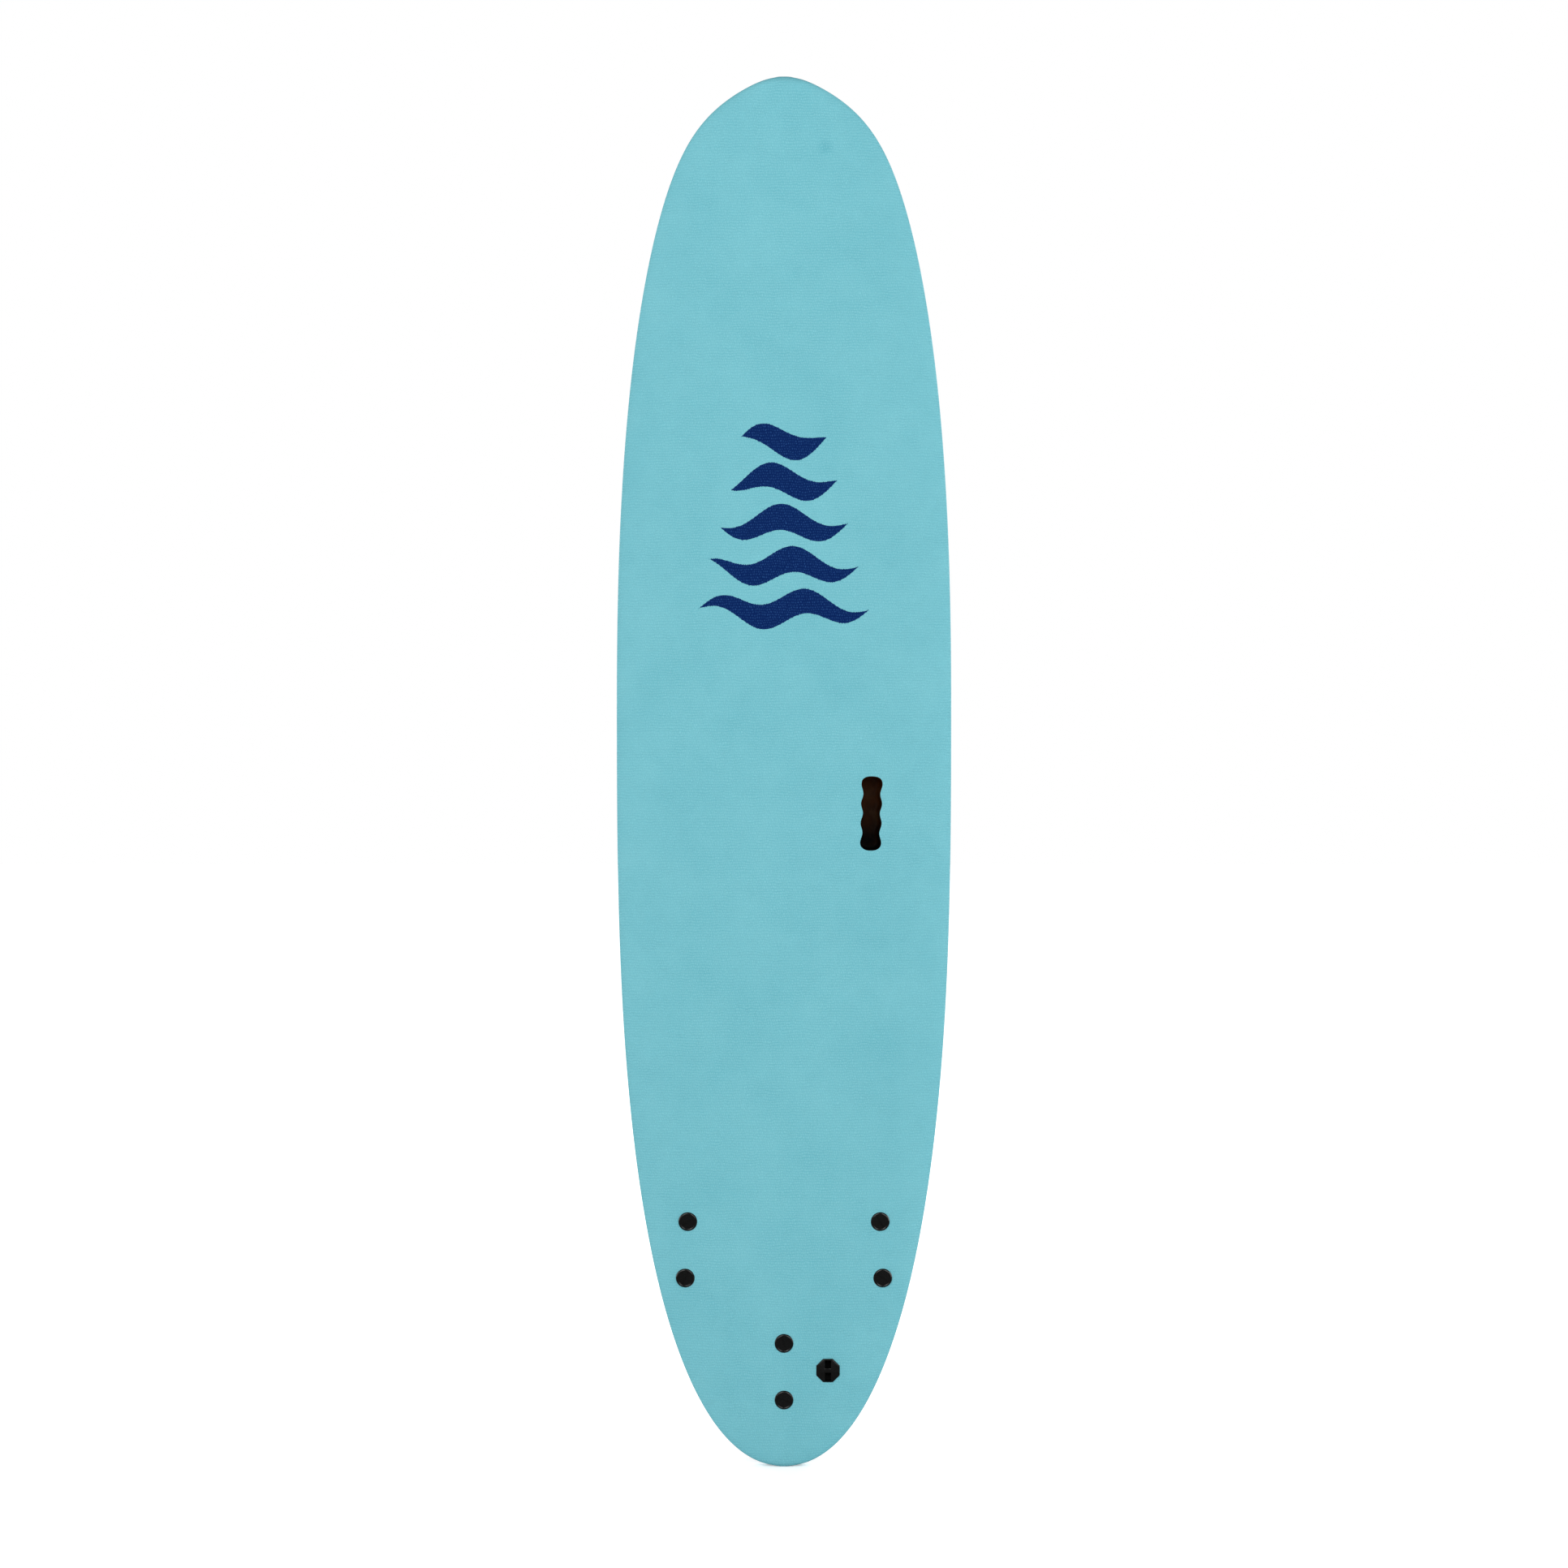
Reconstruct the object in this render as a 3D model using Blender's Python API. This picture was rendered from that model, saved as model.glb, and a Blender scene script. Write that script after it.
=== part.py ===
import math

import bmesh
import bpy
from mathutils import Matrix, Vector

MM = 0.001

# Frame: +Z runs from the tail end to the nose, the deck faces -Y, the right rail is at +X

# Plan outline
BOARD_LENGTH = 2438.4 * MM
BOARD_WIDTH = 593.0 * MM
WIDE_POINT = 0.545
TAIL_SWELL = 2.785
TAIL_ROUND = 2.162
NOSE_SWELL = 2.367
NOSE_ROUND = 2.709
NOSE_POINT = 0.456
NOSE_POINT_REACH = 29.9

# Side profile: deck line and bottom rocker
DECK_LIFT = 66.0 * MM
DECK_LIFT_RATE = 6.0
BELLY_DEPTH = 84.0 * MM
FLAT_POINT = 0.429
TAIL_ROCKER = 55.3 * MM
TAIL_ROCKER_POWER = 1.814
NOSE_ROCKER = 116.0 * MM
NOSE_ROCKER_POWER = 2.9
TAIL_TIP = 9.0 * MM
NOSE_TIP = 16.0 * MM
TIP_FLAT = 0.6 * MM

# Cross section
APEX_SHARE = 0.42
CROWN_FLAT = 2.6
CROWN_ROUND = 2.2
TUCK = 12.0 * MM

# Layers
FIT = 0.3 * MM
SKIN_THICK = 5.0 * MM
SLICK_THICK = 1.5 * MM
STRINGER_AT = 115.0 * MM
STRINGER_THICK = 6.0 * MM

# Fin places: middle of each unit from the tail, and from the centre line
SIDE_FIN_Z = 382.0 * MM
SIDE_FIN_X = 0.29 * BOARD_WIDTH
CENTRE_FIN_Z = 168.0 * MM
TOE_IN = math.radians(2.6)
CANT = math.radians(6.0)

# Fin bolts and their sealing washers
BOLT_HEAD_DIA = 33.0 * MM
BOLT_HEAD_THICK = 4.5 * MM
BOLT_PROUD = 2.2 * MM
BOLT_SHANK_DIA = 8.0 * MM
BOLT_GRIP = 20.0 * MM
WASHER_DIA = 30.0 * MM
WASHER_THICK = 1.2 * MM
HEAD_CHAMFER = 1.6 * MM
COIN_SLOT_LENGTH = 25.0 * MM
COIN_SLOT_WIDTH = 2.6 * MM
COIN_SLOT_DEPTH = 2.2 * MM

# Fin base, cover and screws
COVER_LENGTH = 156.0 * MM
COVER_WIDTH = 39.0 * MM
COVER_THICK = 3.5 * MM
COVER_CHAMFER = 1.4 * MM
COVER_LAP = 3.0 * MM
BOLT_SPACING = 0.64 * COVER_LENGTH
BASE_THICK = 7.0 * MM
POST_DIA = 15.0 * MM
BORE_SPARE = 6.0 * MM
SCREW_SPAN = 0.365 * COVER_LENGTH
SCREW_GAUGE = 19.4 * MM
SCREW_DIA = 3.0 * MM
SCREW_HEAD_DIA = 6.2 * MM
SCREW_HEAD_THICK = 1.8 * MM
SCREW_SINK = 1.3 * MM

# Fins
FIN_ROOT = 96.0 * MM
FIN_DEPTH = 100.0 * MM
FIN_THICK = 6.6 * MM
FIN_LEAD = 36.0 * MM
FIN_SWEEP = 116.0 * MM
FIN_TIP_MIDDLE = 115.0 * MM
FIN_TIP_REACH = 26.0 * MM
FIN_TIP_HALF = 15.0 * MM
FOOT_THICK = 3.0 * MM
FOOT_WIDTH = 27.0 * MM
FOOT_MARGIN = 3.0 * MM
SLOT_AHEAD = 19.0 * MM
SLOT_SIDE = 0.5 * MM

# Leash plug and its bolt
LEASH_X = 77.5 * MM
LEASH_Z = 170.0 * MM
PLUG_FLATS = 41.0 * MM
PLUG_PROUD = 2.0 * MM
PLUG_DEPTH = 15.0 * MM
PLUG_CHAMFER = 1.2 * MM
PLUG_POST_DIA = 18.0 * MM
PLUG_BAR = 7.5 * MM
PLUG_BAR_THICK = 4.0 * MM
PLUG_OPENING_WIDTH = 10.6 * MM
PLUG_OPENING_LENGTH = 36.0 * MM
PLUG_OPENING_DEPTH = 11.0 * MM
LEASH_BOLT_DIA = 40.0 * MM
LEASH_BOLT_THICK = 3.8 * MM
LEASH_BOLT_SINK = 1.4 * MM
LEASH_SHANK_DIA = 10.0 * MM
LEASH_GRIP = 14.0 * MM
LEASH_WASHER_DIA = 36.0 * MM

# Handle cup
HANDLE_X = 154.0 * MM
HANDLE_Z = 1152.0 * MM
HANDLE_LENGTH = 130.0 * MM
HANDLE_HALF = 16.5 * MM
HANDLE_SCALLOP = 1.9 * MM
HANDLE_PITCH = 34.5 * MM
HANDLE_DEPTH = 42.0 * MM
HANDLE_WALL = 2.0 * MM
HANDLE_TILT = math.radians(1.4)

ROUND_STEPS = 20
SMALL_STEPS = 10
STATIONS = 28
CROWN_STEPS = (0.3, 0.55, 0.75, 0.88, 0.96)
OVERSHOOT = 20.0 * MM

# The origin is the middle of the tail end
DECK_DATUM = -(BELLY_DEPTH - TAIL_ROCKER) / 2
BASE_LENGTH = COVER_LENGTH - 2 * COVER_LAP
BASE_WIDTH = COVER_WIDTH - 2 * COVER_LAP
WASHER_TOP = BOLT_HEAD_THICK - BOLT_PROUD + FIT
SEAT_DEPTH = WASHER_TOP + WASHER_THICK + FIT
LEASH_SEAT = LEASH_BOLT_SINK + 2 * FIT + WASHER_THICK
COVER_TOP = FIT + COVER_THICK


def clear_scene():
    for old in list(bpy.data.objects):
        bpy.data.objects.remove(old, do_unlink=True)


def make_collection(name):
    made = bpy.data.collections.new(name)
    bpy.context.scene.collection.children.link(made)
    return made


def make_material(name, colour, roughness, metallic=0.0):
    made = bpy.data.materials.new(name)
    made.use_nodes = True
    shader = made.node_tree.nodes["Principled BSDF"]
    shader.inputs["Base Color"].default_value = (*colour, 1.0)
    shader.inputs["Roughness"].default_value = roughness
    shader.inputs["Metallic"].default_value = metallic
    return made


# Board surface as formulas of the distance z from the tail


def half_width(z, inset=0.0):
    share = (z - inset) / (BOARD_LENGTH - 2 * inset)
    share = min(max(share, TIP_FLAT / BOARD_LENGTH), 1 - TIP_FLAT / BOARD_LENGTH)
    if share < WIDE_POINT:
        run = (WIDE_POINT - share) / WIDE_POINT
        shape = max(1 - run ** TAIL_SWELL, 0.0) ** (1 / TAIL_ROUND)
    else:
        run = (share - WIDE_POINT) / (1 - WIDE_POINT)
        shape = max(1 - run ** NOSE_SWELL, 0.0) ** (1 / NOSE_ROUND)
        shape *= 1 - NOSE_POINT * run ** NOSE_POINT_REACH
    return (BOARD_WIDTH / 2 - inset) * shape


def tip_shrink(z):
    radius, run = (TAIL_TIP, z) if z < BOARD_LENGTH / 2 else (NOSE_TIP, BOARD_LENGTH - z)
    short = radius - max(run, TIP_FLAT)
    if short <= 0:
        return 0.0
    return radius - math.sqrt(max(radius ** 2 - short ** 2, 0.0))


def deck_line(z):
    lift = DECK_LIFT * math.exp(-DECK_LIFT_RATE * (1 - z / BOARD_LENGTH))
    return DECK_DATUM - lift + tip_shrink(z)


def bottom_line(z):
    share = z / BOARD_LENGTH
    if share < FLAT_POINT:
        rise = TAIL_ROCKER * ((FLAT_POINT - share) / FLAT_POINT) ** TAIL_ROCKER_POWER
    else:
        rise = NOSE_ROCKER * ((share - FLAT_POINT) / (1 - FLAT_POINT)) ** NOSE_ROCKER_POWER
    return DECK_DATUM + BELLY_DEPTH - rise - tip_shrink(z) / 2


def apex_line(z):
    return deck_line(z) + APEX_SHARE * (bottom_line(z) - deck_line(z))


def deck_drop(share):
    return 1 - max(1 - share ** CROWN_FLAT, 0.0) ** (1 / CROWN_ROUND)


def deck_surface(x, z, inset=0.0):
    top = deck_line(z) + inset
    share = min(abs(x) / half_width(z, inset), 1.0)
    return top + (apex_line(z) - top) * deck_drop(share)


def tuck_at(z):
    return TUCK * half_width(z) / (BOARD_WIDTH / 2)


def bottom_tilt(z):
    step = 5 * MM
    return math.atan((bottom_line(z + step) - bottom_line(z - step)) / (2 * step))


def station_list(inset):
    near_tip = TAIL_TIP / 3 / BOARD_LENGTH
    shares = [0.0, near_tip]
    for i in range(1, STATIONS):
        shares.append((1 - math.cos(math.pi * i / STATIONS)) / 2)
    shares += [1 - near_tip, 1.0]
    span = BOARD_LENGTH - 2 * inset
    return [inset + share * span for share in shares]


def section_arch(z, inset, foot_y):
    width = half_width(z, inset)
    half = [Vector((width - tuck_at(z), foot_y, z)), Vector((width, apex_line(z), z))]
    for share in reversed(CROWN_STEPS):
        half.append(Vector((share * width, deck_surface(share * width, z, inset), z)))
    middle = Vector((0.0, deck_line(z) + inset, z))
    left = [Vector((-p.x, p.y, p.z)) for p in half]
    return left + [middle] + half[::-1]


# Mesh builders


def finish_mesh(bm, name, material, collection, frame=None):
    bmesh.ops.remove_doubles(bm, verts=bm.verts, dist=0.000001)
    bmesh.ops.recalc_face_normals(bm, faces=bm.faces)
    mesh = bpy.data.meshes.new(name)
    bm.to_mesh(mesh)
    bm.free()
    made = bpy.data.objects.new(name, mesh)
    if material is not None:
        mesh.materials.append(material)
    if frame is not None:
        made.matrix_world = frame
    collection.objects.link(made)
    return made


def add_quad(bm, a, b, c, d):
    bm.faces.new((a, b, c))
    bm.faces.new((a, c, d))


def add_rings(bm, rings, looped=False):
    rows = [[bm.verts.new(p) for p in ring] for ring in rings]
    pairs = list(zip(rows, rows[1:]))
    if looped:
        pairs.append((rows[-1], rows[0]))
    for low, high in pairs:
        for i in range(len(low)):
            j = (i + 1) % len(low)
            add_quad(bm, low[i], low[j], high[j], high[i])
    if not looped:
        bm.faces.new(rows[0])
        bm.faces.new(rows[-1])


def make_stack(name, rings, material, collection, frame=None, looped=False):
    bm = bmesh.new()
    add_rings(bm, rings, looped)
    return finish_mesh(bm, name, material, collection, frame)


def circle(radius, level, steps=ROUND_STEPS):
    turn = 2 * math.pi / steps
    return [Vector((radius * math.cos(turn * i), level, radius * math.sin(turn * i))) for i in range(steps)]


def octagon(flats, level):
    corner = flats / 2 * math.tan(math.pi / 8)
    side = flats / 2
    half = [(side, 0), (side, corner), (corner, side), (0, side)]
    half += [(-corner, side), (-side, corner)]
    points = half[:] + [(-side, 0)] + [(x, -z) for x, z in reversed(half[1:])]
    points.insert(2, ((side + corner) / 2, (side + corner) / 2))
    points.insert(6, (-(side + corner) / 2, (side + corner) / 2))
    points.insert(10, (-(side + corner) / 2, -(side + corner) / 2))
    points.insert(14, ((side + corner) / 2, -(side + corner) / 2))
    return [Vector((x, level, z)) for x, z in points]


def plug_circle(radius, level):
    return circle(radius, level, 16)


def stadium(length, width, level, steps=8, middle=0.0):
    radius = width / 2
    straight = length / 2 - radius
    ring = []
    for end, start in ((1, 0.0), (-1, math.pi)):
        for i in range(steps + 1):
            angle = start + math.pi * i / steps
            ring.append(Vector((radius * math.cos(angle), level,
                                middle + end * straight + radius * math.sin(angle))))
    return ring


def rectangle(width, low, high, level):
    half = width / 2
    return [Vector((-half, level, low)), Vector((half, level, low)),
            Vector((half, level, high)), Vector((-half, level, high))]


def scallop(grow, level):
    reach = HANDLE_LENGTH / 2
    lobe = 1.5 * HANDLE_PITCH
    side = []
    for i in range(13):
        z = -lobe + 2 * lobe * i / 12
        wave = HANDLE_HALF - HANDLE_SCALLOP * math.cos(2 * math.pi * z / HANDLE_PITCH)
        side.append((wave + grow, z))
    cap = []
    for share in (0.55, 0.88):
        z = lobe + share * (reach + grow - lobe)
        cap.append(((HANDLE_HALF + HANDLE_SCALLOP + grow) * (1 - share ** 3) ** (1 / 3), z))
    cap.append(((HANDLE_HALF + HANDLE_SCALLOP) * 0.45, reach + grow))
    right = [(x, -z) for x, z in reversed(cap)] + side + cap
    ring = right + [(-x, z) for x, z in reversed(right)]
    return [Vector((x, level, z)) for x, z in ring]


def cut(target, tool, operation="DIFFERENCE"):
    step = target.modifiers.new(operation.lower() + "_" + tool.name, "BOOLEAN")
    step.operation = operation
    step.solver = "EXACT"
    step.object = tool


def facing_deck(x, y, z):
    return Matrix.Translation((x, y, z)) @ Matrix.Rotation(math.pi, 4, "Z")


def facing_bottom(x, y, z):
    return Matrix.Translation((x, y, z))


# Layers of the board


def build_skin(material, collection):
    outer = [section_arch(z, 0.0, bottom_line(z)) for z in station_list(0.0)]
    inner = [section_arch(z, SKIN_THICK, bottom_line(z)) for z in station_list(SKIN_THICK)]
    bm = bmesh.new()
    outside = [[bm.verts.new(p) for p in row] for row in outer]
    inside = [[bm.verts.new(p) for p in row] for row in inner]
    for rows in (outside, inside):
        for low, high in zip(rows, rows[1:]):
            for i in range(len(low) - 1):
                add_quad(bm, low[i], low[i + 1], high[i + 1], high[i])
        bm.faces.new(rows[0])
        bm.faces.new(rows[-1])
    for low, high, low_in, high_in in zip(outside, outside[1:], inside, inside[1:]):
        for edge in (0, -1):
            bm.faces.new((low[edge], high[edge], high_in[edge], low_in[edge]))
    for edge in (0, -1):
        bm.faces.new((outside[edge][0], outside[edge][-1], inside[edge][-1], inside[edge][0]))
    return finish_mesh(bm, "deck_skin", material, collection)


def build_slick(material, collection):
    rings = []
    inset = SKIN_THICK + FIT
    for z in station_list(inset):
        half = half_width(z, inset) - tuck_at(z)
        low = bottom_line(z) - SLICK_THICK
        high = bottom_line(z)
        rings.append([Vector((-half, low, z)), Vector((half, low, z)),
                      Vector((half, high, z)), Vector((-half, high, z))])
    return make_stack("bottom_slick", rings, material, collection)


def build_core(name, low_x, high_x, material, collection, tools):
    inset = SKIN_THICK + FIT
    rings = []
    for z in station_list(inset):
        rings.append(section_arch(z, inset, bottom_line(z) - SLICK_THICK - FIT))
    core = make_stack(name, rings, material, collection)
    reach = BOARD_WIDTH
    box = [rectangle(high_x - low_x, -OVERSHOOT, BOARD_LENGTH + OVERSHOOT, level) for level in (-reach, reach)]
    tool = make_stack("strip_" + name, box, None, tools, Matrix.Translation(((low_x + high_x) / 2, 0, 0)))
    cut(core, tool, "INTERSECT")
    return core


# Slotted bolts


def bolt_rings(shank, grip, dia, thick):
    return [circle(shank / 2, -grip), circle(shank / 2, 0.0), circle(dia / 2, 0.0),
            circle(dia / 2, thick - HEAD_CHAMFER), circle(dia / 2 - HEAD_CHAMFER, thick)]


def build_bolt(name, rings, thick, turn, frame, material, collection, tools):
    bolt = make_stack(name, rings, material, collection, frame)
    levels = (thick - COIN_SLOT_DEPTH, thick + COIN_SLOT_DEPTH)
    half = COIN_SLOT_LENGTH / 2
    box = [rectangle(COIN_SLOT_WIDTH, -half, half, level) for level in levels]
    spin = frame @ Matrix.Rotation(turn, 4, "Y")
    cut(bolt, make_stack("slot_" + name, box, None, tools, spin))
    return bolt


def build_washer(name, shank, dia, frame, material, collection):
    rings = [circle(dia / 2, 0.0), circle(dia / 2, WASHER_THICK),
             circle(shank / 2 + FIT, WASHER_THICK), circle(shank / 2 + FIT, 0.0)]
    return make_stack(name, rings, material, collection, frame, looped=True)


# Fin units


def fin_leading(share):
    return FIN_SWEEP * (1 - max(1 - share ** 1.15, 0.0) ** (1 / 1.8))


def fin_trailing(share):
    hollow = FIN_ROOT - 25 * MM * share + 125 * MM * share ** 2.82
    if share < 0.75:
        return hollow
    rise = (share * FIN_DEPTH - (FIN_DEPTH - FIN_TIP_HALF)) / FIN_TIP_HALF
    tip = FIN_TIP_MIDDLE + FIN_TIP_REACH * math.sqrt(max(1 - rise ** 2, 0.0))
    return min(hollow, tip)


def blade_ring(share, level, side):
    front = fin_leading(share)
    chord = fin_trailing(share) - front
    thick = FIN_THICK * (1 - 0.5 * share)
    lean = side * level * math.tan(CANT)
    ring = []
    for i in range(14):
        angle = 2 * math.pi * i / 14
        along = front + chord * (1 - math.cos(angle)) / 2
        bulge = thick / 2 * math.copysign(abs(math.sin(angle)) ** 1.2, math.sin(angle))
        ring.append(Vector((bulge + lean, level, FIN_LEAD - along)))
    return ring


def build_fin(tag, side, frame, parts, tools, looks):
    shares = (0.2, 0.4, 0.58, 0.72, 0.79, 0.86, 0.93, 0.98, 0.998)
    rings = [blade_ring(0.0, -FOOT_THICK / 2, side), blade_ring(0.0, 0.0, side)]
    rings += [blade_ring(share, share * FIN_DEPTH, side) for share in shares]
    fin = make_stack("fin_" + tag, rings, looks["black"], parts, frame)
    foot = [rectangle(FOOT_WIDTH, FIN_LEAD - FIN_ROOT - FOOT_MARGIN, FIN_LEAD + SLOT_AHEAD + FOOT_MARGIN, level)
            for level in (-FOOT_THICK, 0.0)]
    cut(fin, make_stack("foot_" + tag, foot, None, tools, frame), "UNION")
    return fin


def build_cover(tag, frame, parts, tools, looks):
    rings = [stadium(COVER_LENGTH, COVER_WIDTH, FIT),
             stadium(COVER_LENGTH, COVER_WIDTH, COVER_TOP - COVER_CHAMFER),
             stadium(COVER_LENGTH - 2 * COVER_CHAMFER, COVER_WIDTH - 2 * COVER_CHAMFER, COVER_TOP)]
    cover = make_stack("fin_cover_" + tag, rings, looks["black"], parts, frame)
    front = FIN_LEAD + SLOT_AHEAD
    rear = FIN_LEAD - FIN_ROOT - SLOT_SIDE
    width = FIN_THICK + 2 * SLOT_SIDE
    levels = (-FOOT_THICK, COVER_TOP + COVER_THICK)
    slot = [stadium(front - rear, width, level, 4, (front + rear) / 2) for level in levels]
    cut(cover, make_stack("cover_slot_" + tag, slot, None, tools, frame))
    return cover


def build_base(tag, side, frame, bolt_places, parts, tools, looks):
    rings = [stadium(BASE_LENGTH, BASE_WIDTH, -BASE_THICK), stadium(BASE_LENGTH, BASE_WIDTH, 0.0)]
    base = make_stack("fin_base_" + tag, rings, looks["black"], parts, frame)
    for end, place in bolt_places.items():
        x, z = place
        top = deck_surface(x, z) + SEAT_DEPTH
        foot = bottom_line(z) - BASE_THICK + 2 * MM - top
        bore = BOLT_SHANK_DIA / 2 + FIT
        floor = BOLT_GRIP + BORE_SPARE - (WASHER_THICK + 2 * FIT)
        post = [circle(POST_DIA / 2, foot, 16), circle(POST_DIA / 2, 0.0, 16),
                circle(bore, 0.0, 16), circle(bore, floor, 16)]
        tool = make_stack("post_" + tag + "_" + end, post, None, tools, facing_bottom(x, top, z))
        cut(base, tool, "UNION")
    low = FIN_LEAD - FIN_ROOT - FOOT_MARGIN - FIT
    high = FIN_LEAD + SLOT_AHEAD + FOOT_MARGIN + FIT
    pocket = [rectangle(FOOT_WIDTH + 2 * FIT, low, high, level) for level in (-FOOT_THICK - FIT, OVERSHOOT)]
    cut(base, make_stack("base_pocket_" + tag, pocket, None, tools, frame))
    return base


def screw_places(side):
    # Both screws on the inner side of a side fin, one on each side of the centre fin
    return [((-side or end) * SCREW_GAUGE / 2, end * SCREW_SPAN / 2) for end in (1, -1)]


def build_screws(tag, side, frame, parts, looks):
    sink = COVER_TOP - SCREW_SINK + FIT
    tip = -BASE_THICK + 2 * FIT
    for number, place in enumerate(screw_places(side), 1):
        rings = [circle(SCREW_DIA / 2, tip, SMALL_STEPS), circle(SCREW_DIA / 2, sink, SMALL_STEPS),
                 circle(SCREW_HEAD_DIA / 2, sink, SMALL_STEPS),
                 circle(SCREW_HEAD_DIA / 2, sink + SCREW_HEAD_THICK / 2, SMALL_STEPS),
                 circle(SCREW_HEAD_DIA / 3.2, sink + SCREW_HEAD_THICK, SMALL_STEPS)]
        spot = frame @ Matrix.Translation((place[0], 0, place[1]))
        make_stack("fin_screw_" + tag + "_" + str(number), rings, looks["steel"], parts, spot)


def screw_bores(tag, side, frame, tools):
    bm = bmesh.new()
    wide = SCREW_HEAD_DIA / 2 + FIT
    narrow = SCREW_DIA / 2 + FIT
    seat = COVER_TOP - SCREW_SINK
    for x, z in screw_places(side):
        rings = [circle(narrow, -BASE_THICK + FIT, SMALL_STEPS), circle(narrow, seat, SMALL_STEPS),
                 circle(wide, seat, SMALL_STEPS), circle(wide, COVER_TOP + OVERSHOOT, SMALL_STEPS)]
        shift = Vector((x, 0, z))
        add_rings(bm, [[p + shift for p in ring] for ring in rings])
    return finish_mesh(bm, "screw_bores_" + tag, None, tools, frame)


def bolt_bore(tag, x, z, tools):
    deck = deck_surface(x, z)
    through = bottom_line(z) - BASE_THICK + 2 * MM - deck
    rings = [circle(BOLT_HEAD_DIA / 2 + 2 * FIT, -OVERSHOOT), circle(BOLT_HEAD_DIA / 2 + 2 * FIT, SEAT_DEPTH),
             circle(POST_DIA / 2 + FIT, SEAT_DEPTH), circle(POST_DIA / 2 + FIT, through)]
    return make_stack("bolt_bore_" + tag, rings, None, tools, facing_bottom(x, deck, z))


def build_fin_unit(tag, side, x, z, turns, core, skin, slick, parts, tools, looks):
    toe = -side * TOE_IN
    tilt = Matrix.Rotation(-bottom_tilt(z), 4, "X") @ Matrix.Rotation(toe, 4, "Y")
    frame = facing_bottom(x, bottom_line(z), z) @ tilt
    half = BOLT_SPACING / 2
    places = {"front": (x + half * math.sin(toe), z + half * math.cos(toe)),
              "rear": (x - half * math.sin(toe), z - half * math.cos(toe))}
    fin = build_fin(tag, side, frame, parts, tools, looks)
    cover = build_cover(tag, frame, parts, tools, looks)
    base = build_base(tag, side, frame, places, parts, tools, looks)
    bores = screw_bores(tag, side, frame, tools)
    for piece in (fin, cover, base):
        cut(piece, bores)
    build_screws(tag, side, frame, parts, looks)
    levels = (-BASE_THICK - FIT, OVERSHOOT)
    recess = [stadium(BASE_LENGTH + 2 * FIT, BASE_WIDTH + 2 * FIT, level) for level in levels]
    hole = make_stack("base_recess_" + tag, recess, None, tools, frame)
    cut(core, hole)
    cut(slick, hole)
    for end, place in places.items():
        bore = bolt_bore(tag + "_" + end, place[0], place[1], tools)
        cut(core, bore)
        cut(skin, bore)
        deck = deck_surface(*place)
        seat = facing_deck(place[0], deck + WASHER_TOP + WASHER_THICK, place[1])
        build_washer("fin_washer_" + tag + "_" + end, BOLT_SHANK_DIA, WASHER_DIA, seat, looks["rubber"], parts)
        head = facing_deck(place[0], deck + BOLT_HEAD_THICK - BOLT_PROUD, place[1])
        rings = bolt_rings(BOLT_SHANK_DIA, BOLT_GRIP, BOLT_HEAD_DIA, BOLT_HEAD_THICK)
        build_bolt("fin_bolt_" + tag + "_" + end, rings, BOLT_HEAD_THICK, turns[end], head,
                   looks["black"], parts, tools)


# Leash plug


def build_leash(core, skin, slick, parts, tools, looks):
    deck = deck_surface(LEASH_X, LEASH_Z)
    under = bottom_line(LEASH_Z)
    bore = LEASH_SHANK_DIA / 2 + FIT
    end = under - LEASH_SEAT - deck
    body = PLUG_DEPTH - PLUG_PROUD
    rings = [plug_circle(bore, end - LEASH_GRIP), plug_circle(bore, end),
             plug_circle(PLUG_POST_DIA / 2, end), plug_circle(PLUG_POST_DIA / 2, body),
             octagon(PLUG_FLATS, body), octagon(PLUG_FLATS, PLUG_CHAMFER - PLUG_PROUD),
             octagon(PLUG_FLATS - 2 * PLUG_CHAMFER, -PLUG_PROUD)]
    place = facing_bottom(LEASH_X, deck, LEASH_Z)
    plug = make_stack("leash_plug", rings, looks["black"], parts, place)
    top = -PLUG_PROUD - OVERSHOOT
    floor = PLUG_OPENING_DEPTH - PLUG_PROUD
    bar = PLUG_BAR_THICK - PLUG_PROUD
    reach = PLUG_OPENING_LENGTH / 2
    inner = PLUG_BAR / 2
    profile = [(-reach, top), (-reach, floor), (reach, floor), (reach, top),
               (inner, top), (inner, bar), (-inner, bar), (-inner, top)]
    sides = [[Vector((x, y, z)) for z, y in profile] for x in (-PLUG_OPENING_WIDTH / 2, PLUG_OPENING_WIDTH / 2)]
    cut(plug, make_stack("leash_opening", sides, None, tools, place))

    wide = LEASH_BOLT_DIA / 2 + 2 * FIT
    hole = [octagon(PLUG_FLATS + 2 * FIT, -OVERSHOOT), octagon(PLUG_FLATS + 2 * FIT, body + FIT),
            plug_circle(PLUG_POST_DIA / 2 + FIT, body + FIT), plug_circle(PLUG_POST_DIA / 2 + FIT, end),
            plug_circle(wide, end), plug_circle(wide, end + OVERSHOOT)]
    bore_tool = make_stack("leash_bore", hole, None, tools, place)
    for piece in (core, skin, slick):
        cut(piece, bore_tool)

    seat = facing_bottom(LEASH_X, under - LEASH_SEAT + FIT, LEASH_Z)
    build_washer("leash_washer", LEASH_SHANK_DIA, LEASH_WASHER_DIA, seat, looks["rubber"], parts)
    head = facing_bottom(LEASH_X, under - LEASH_BOLT_SINK, LEASH_Z)
    rings = bolt_rings(LEASH_SHANK_DIA, LEASH_GRIP - 2 * MM, LEASH_BOLT_DIA, LEASH_BOLT_THICK)
    build_bolt("leash_bolt", rings, LEASH_BOLT_THICK, math.radians(25), head, looks["black"], parts, tools)


# Handle cup


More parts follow.
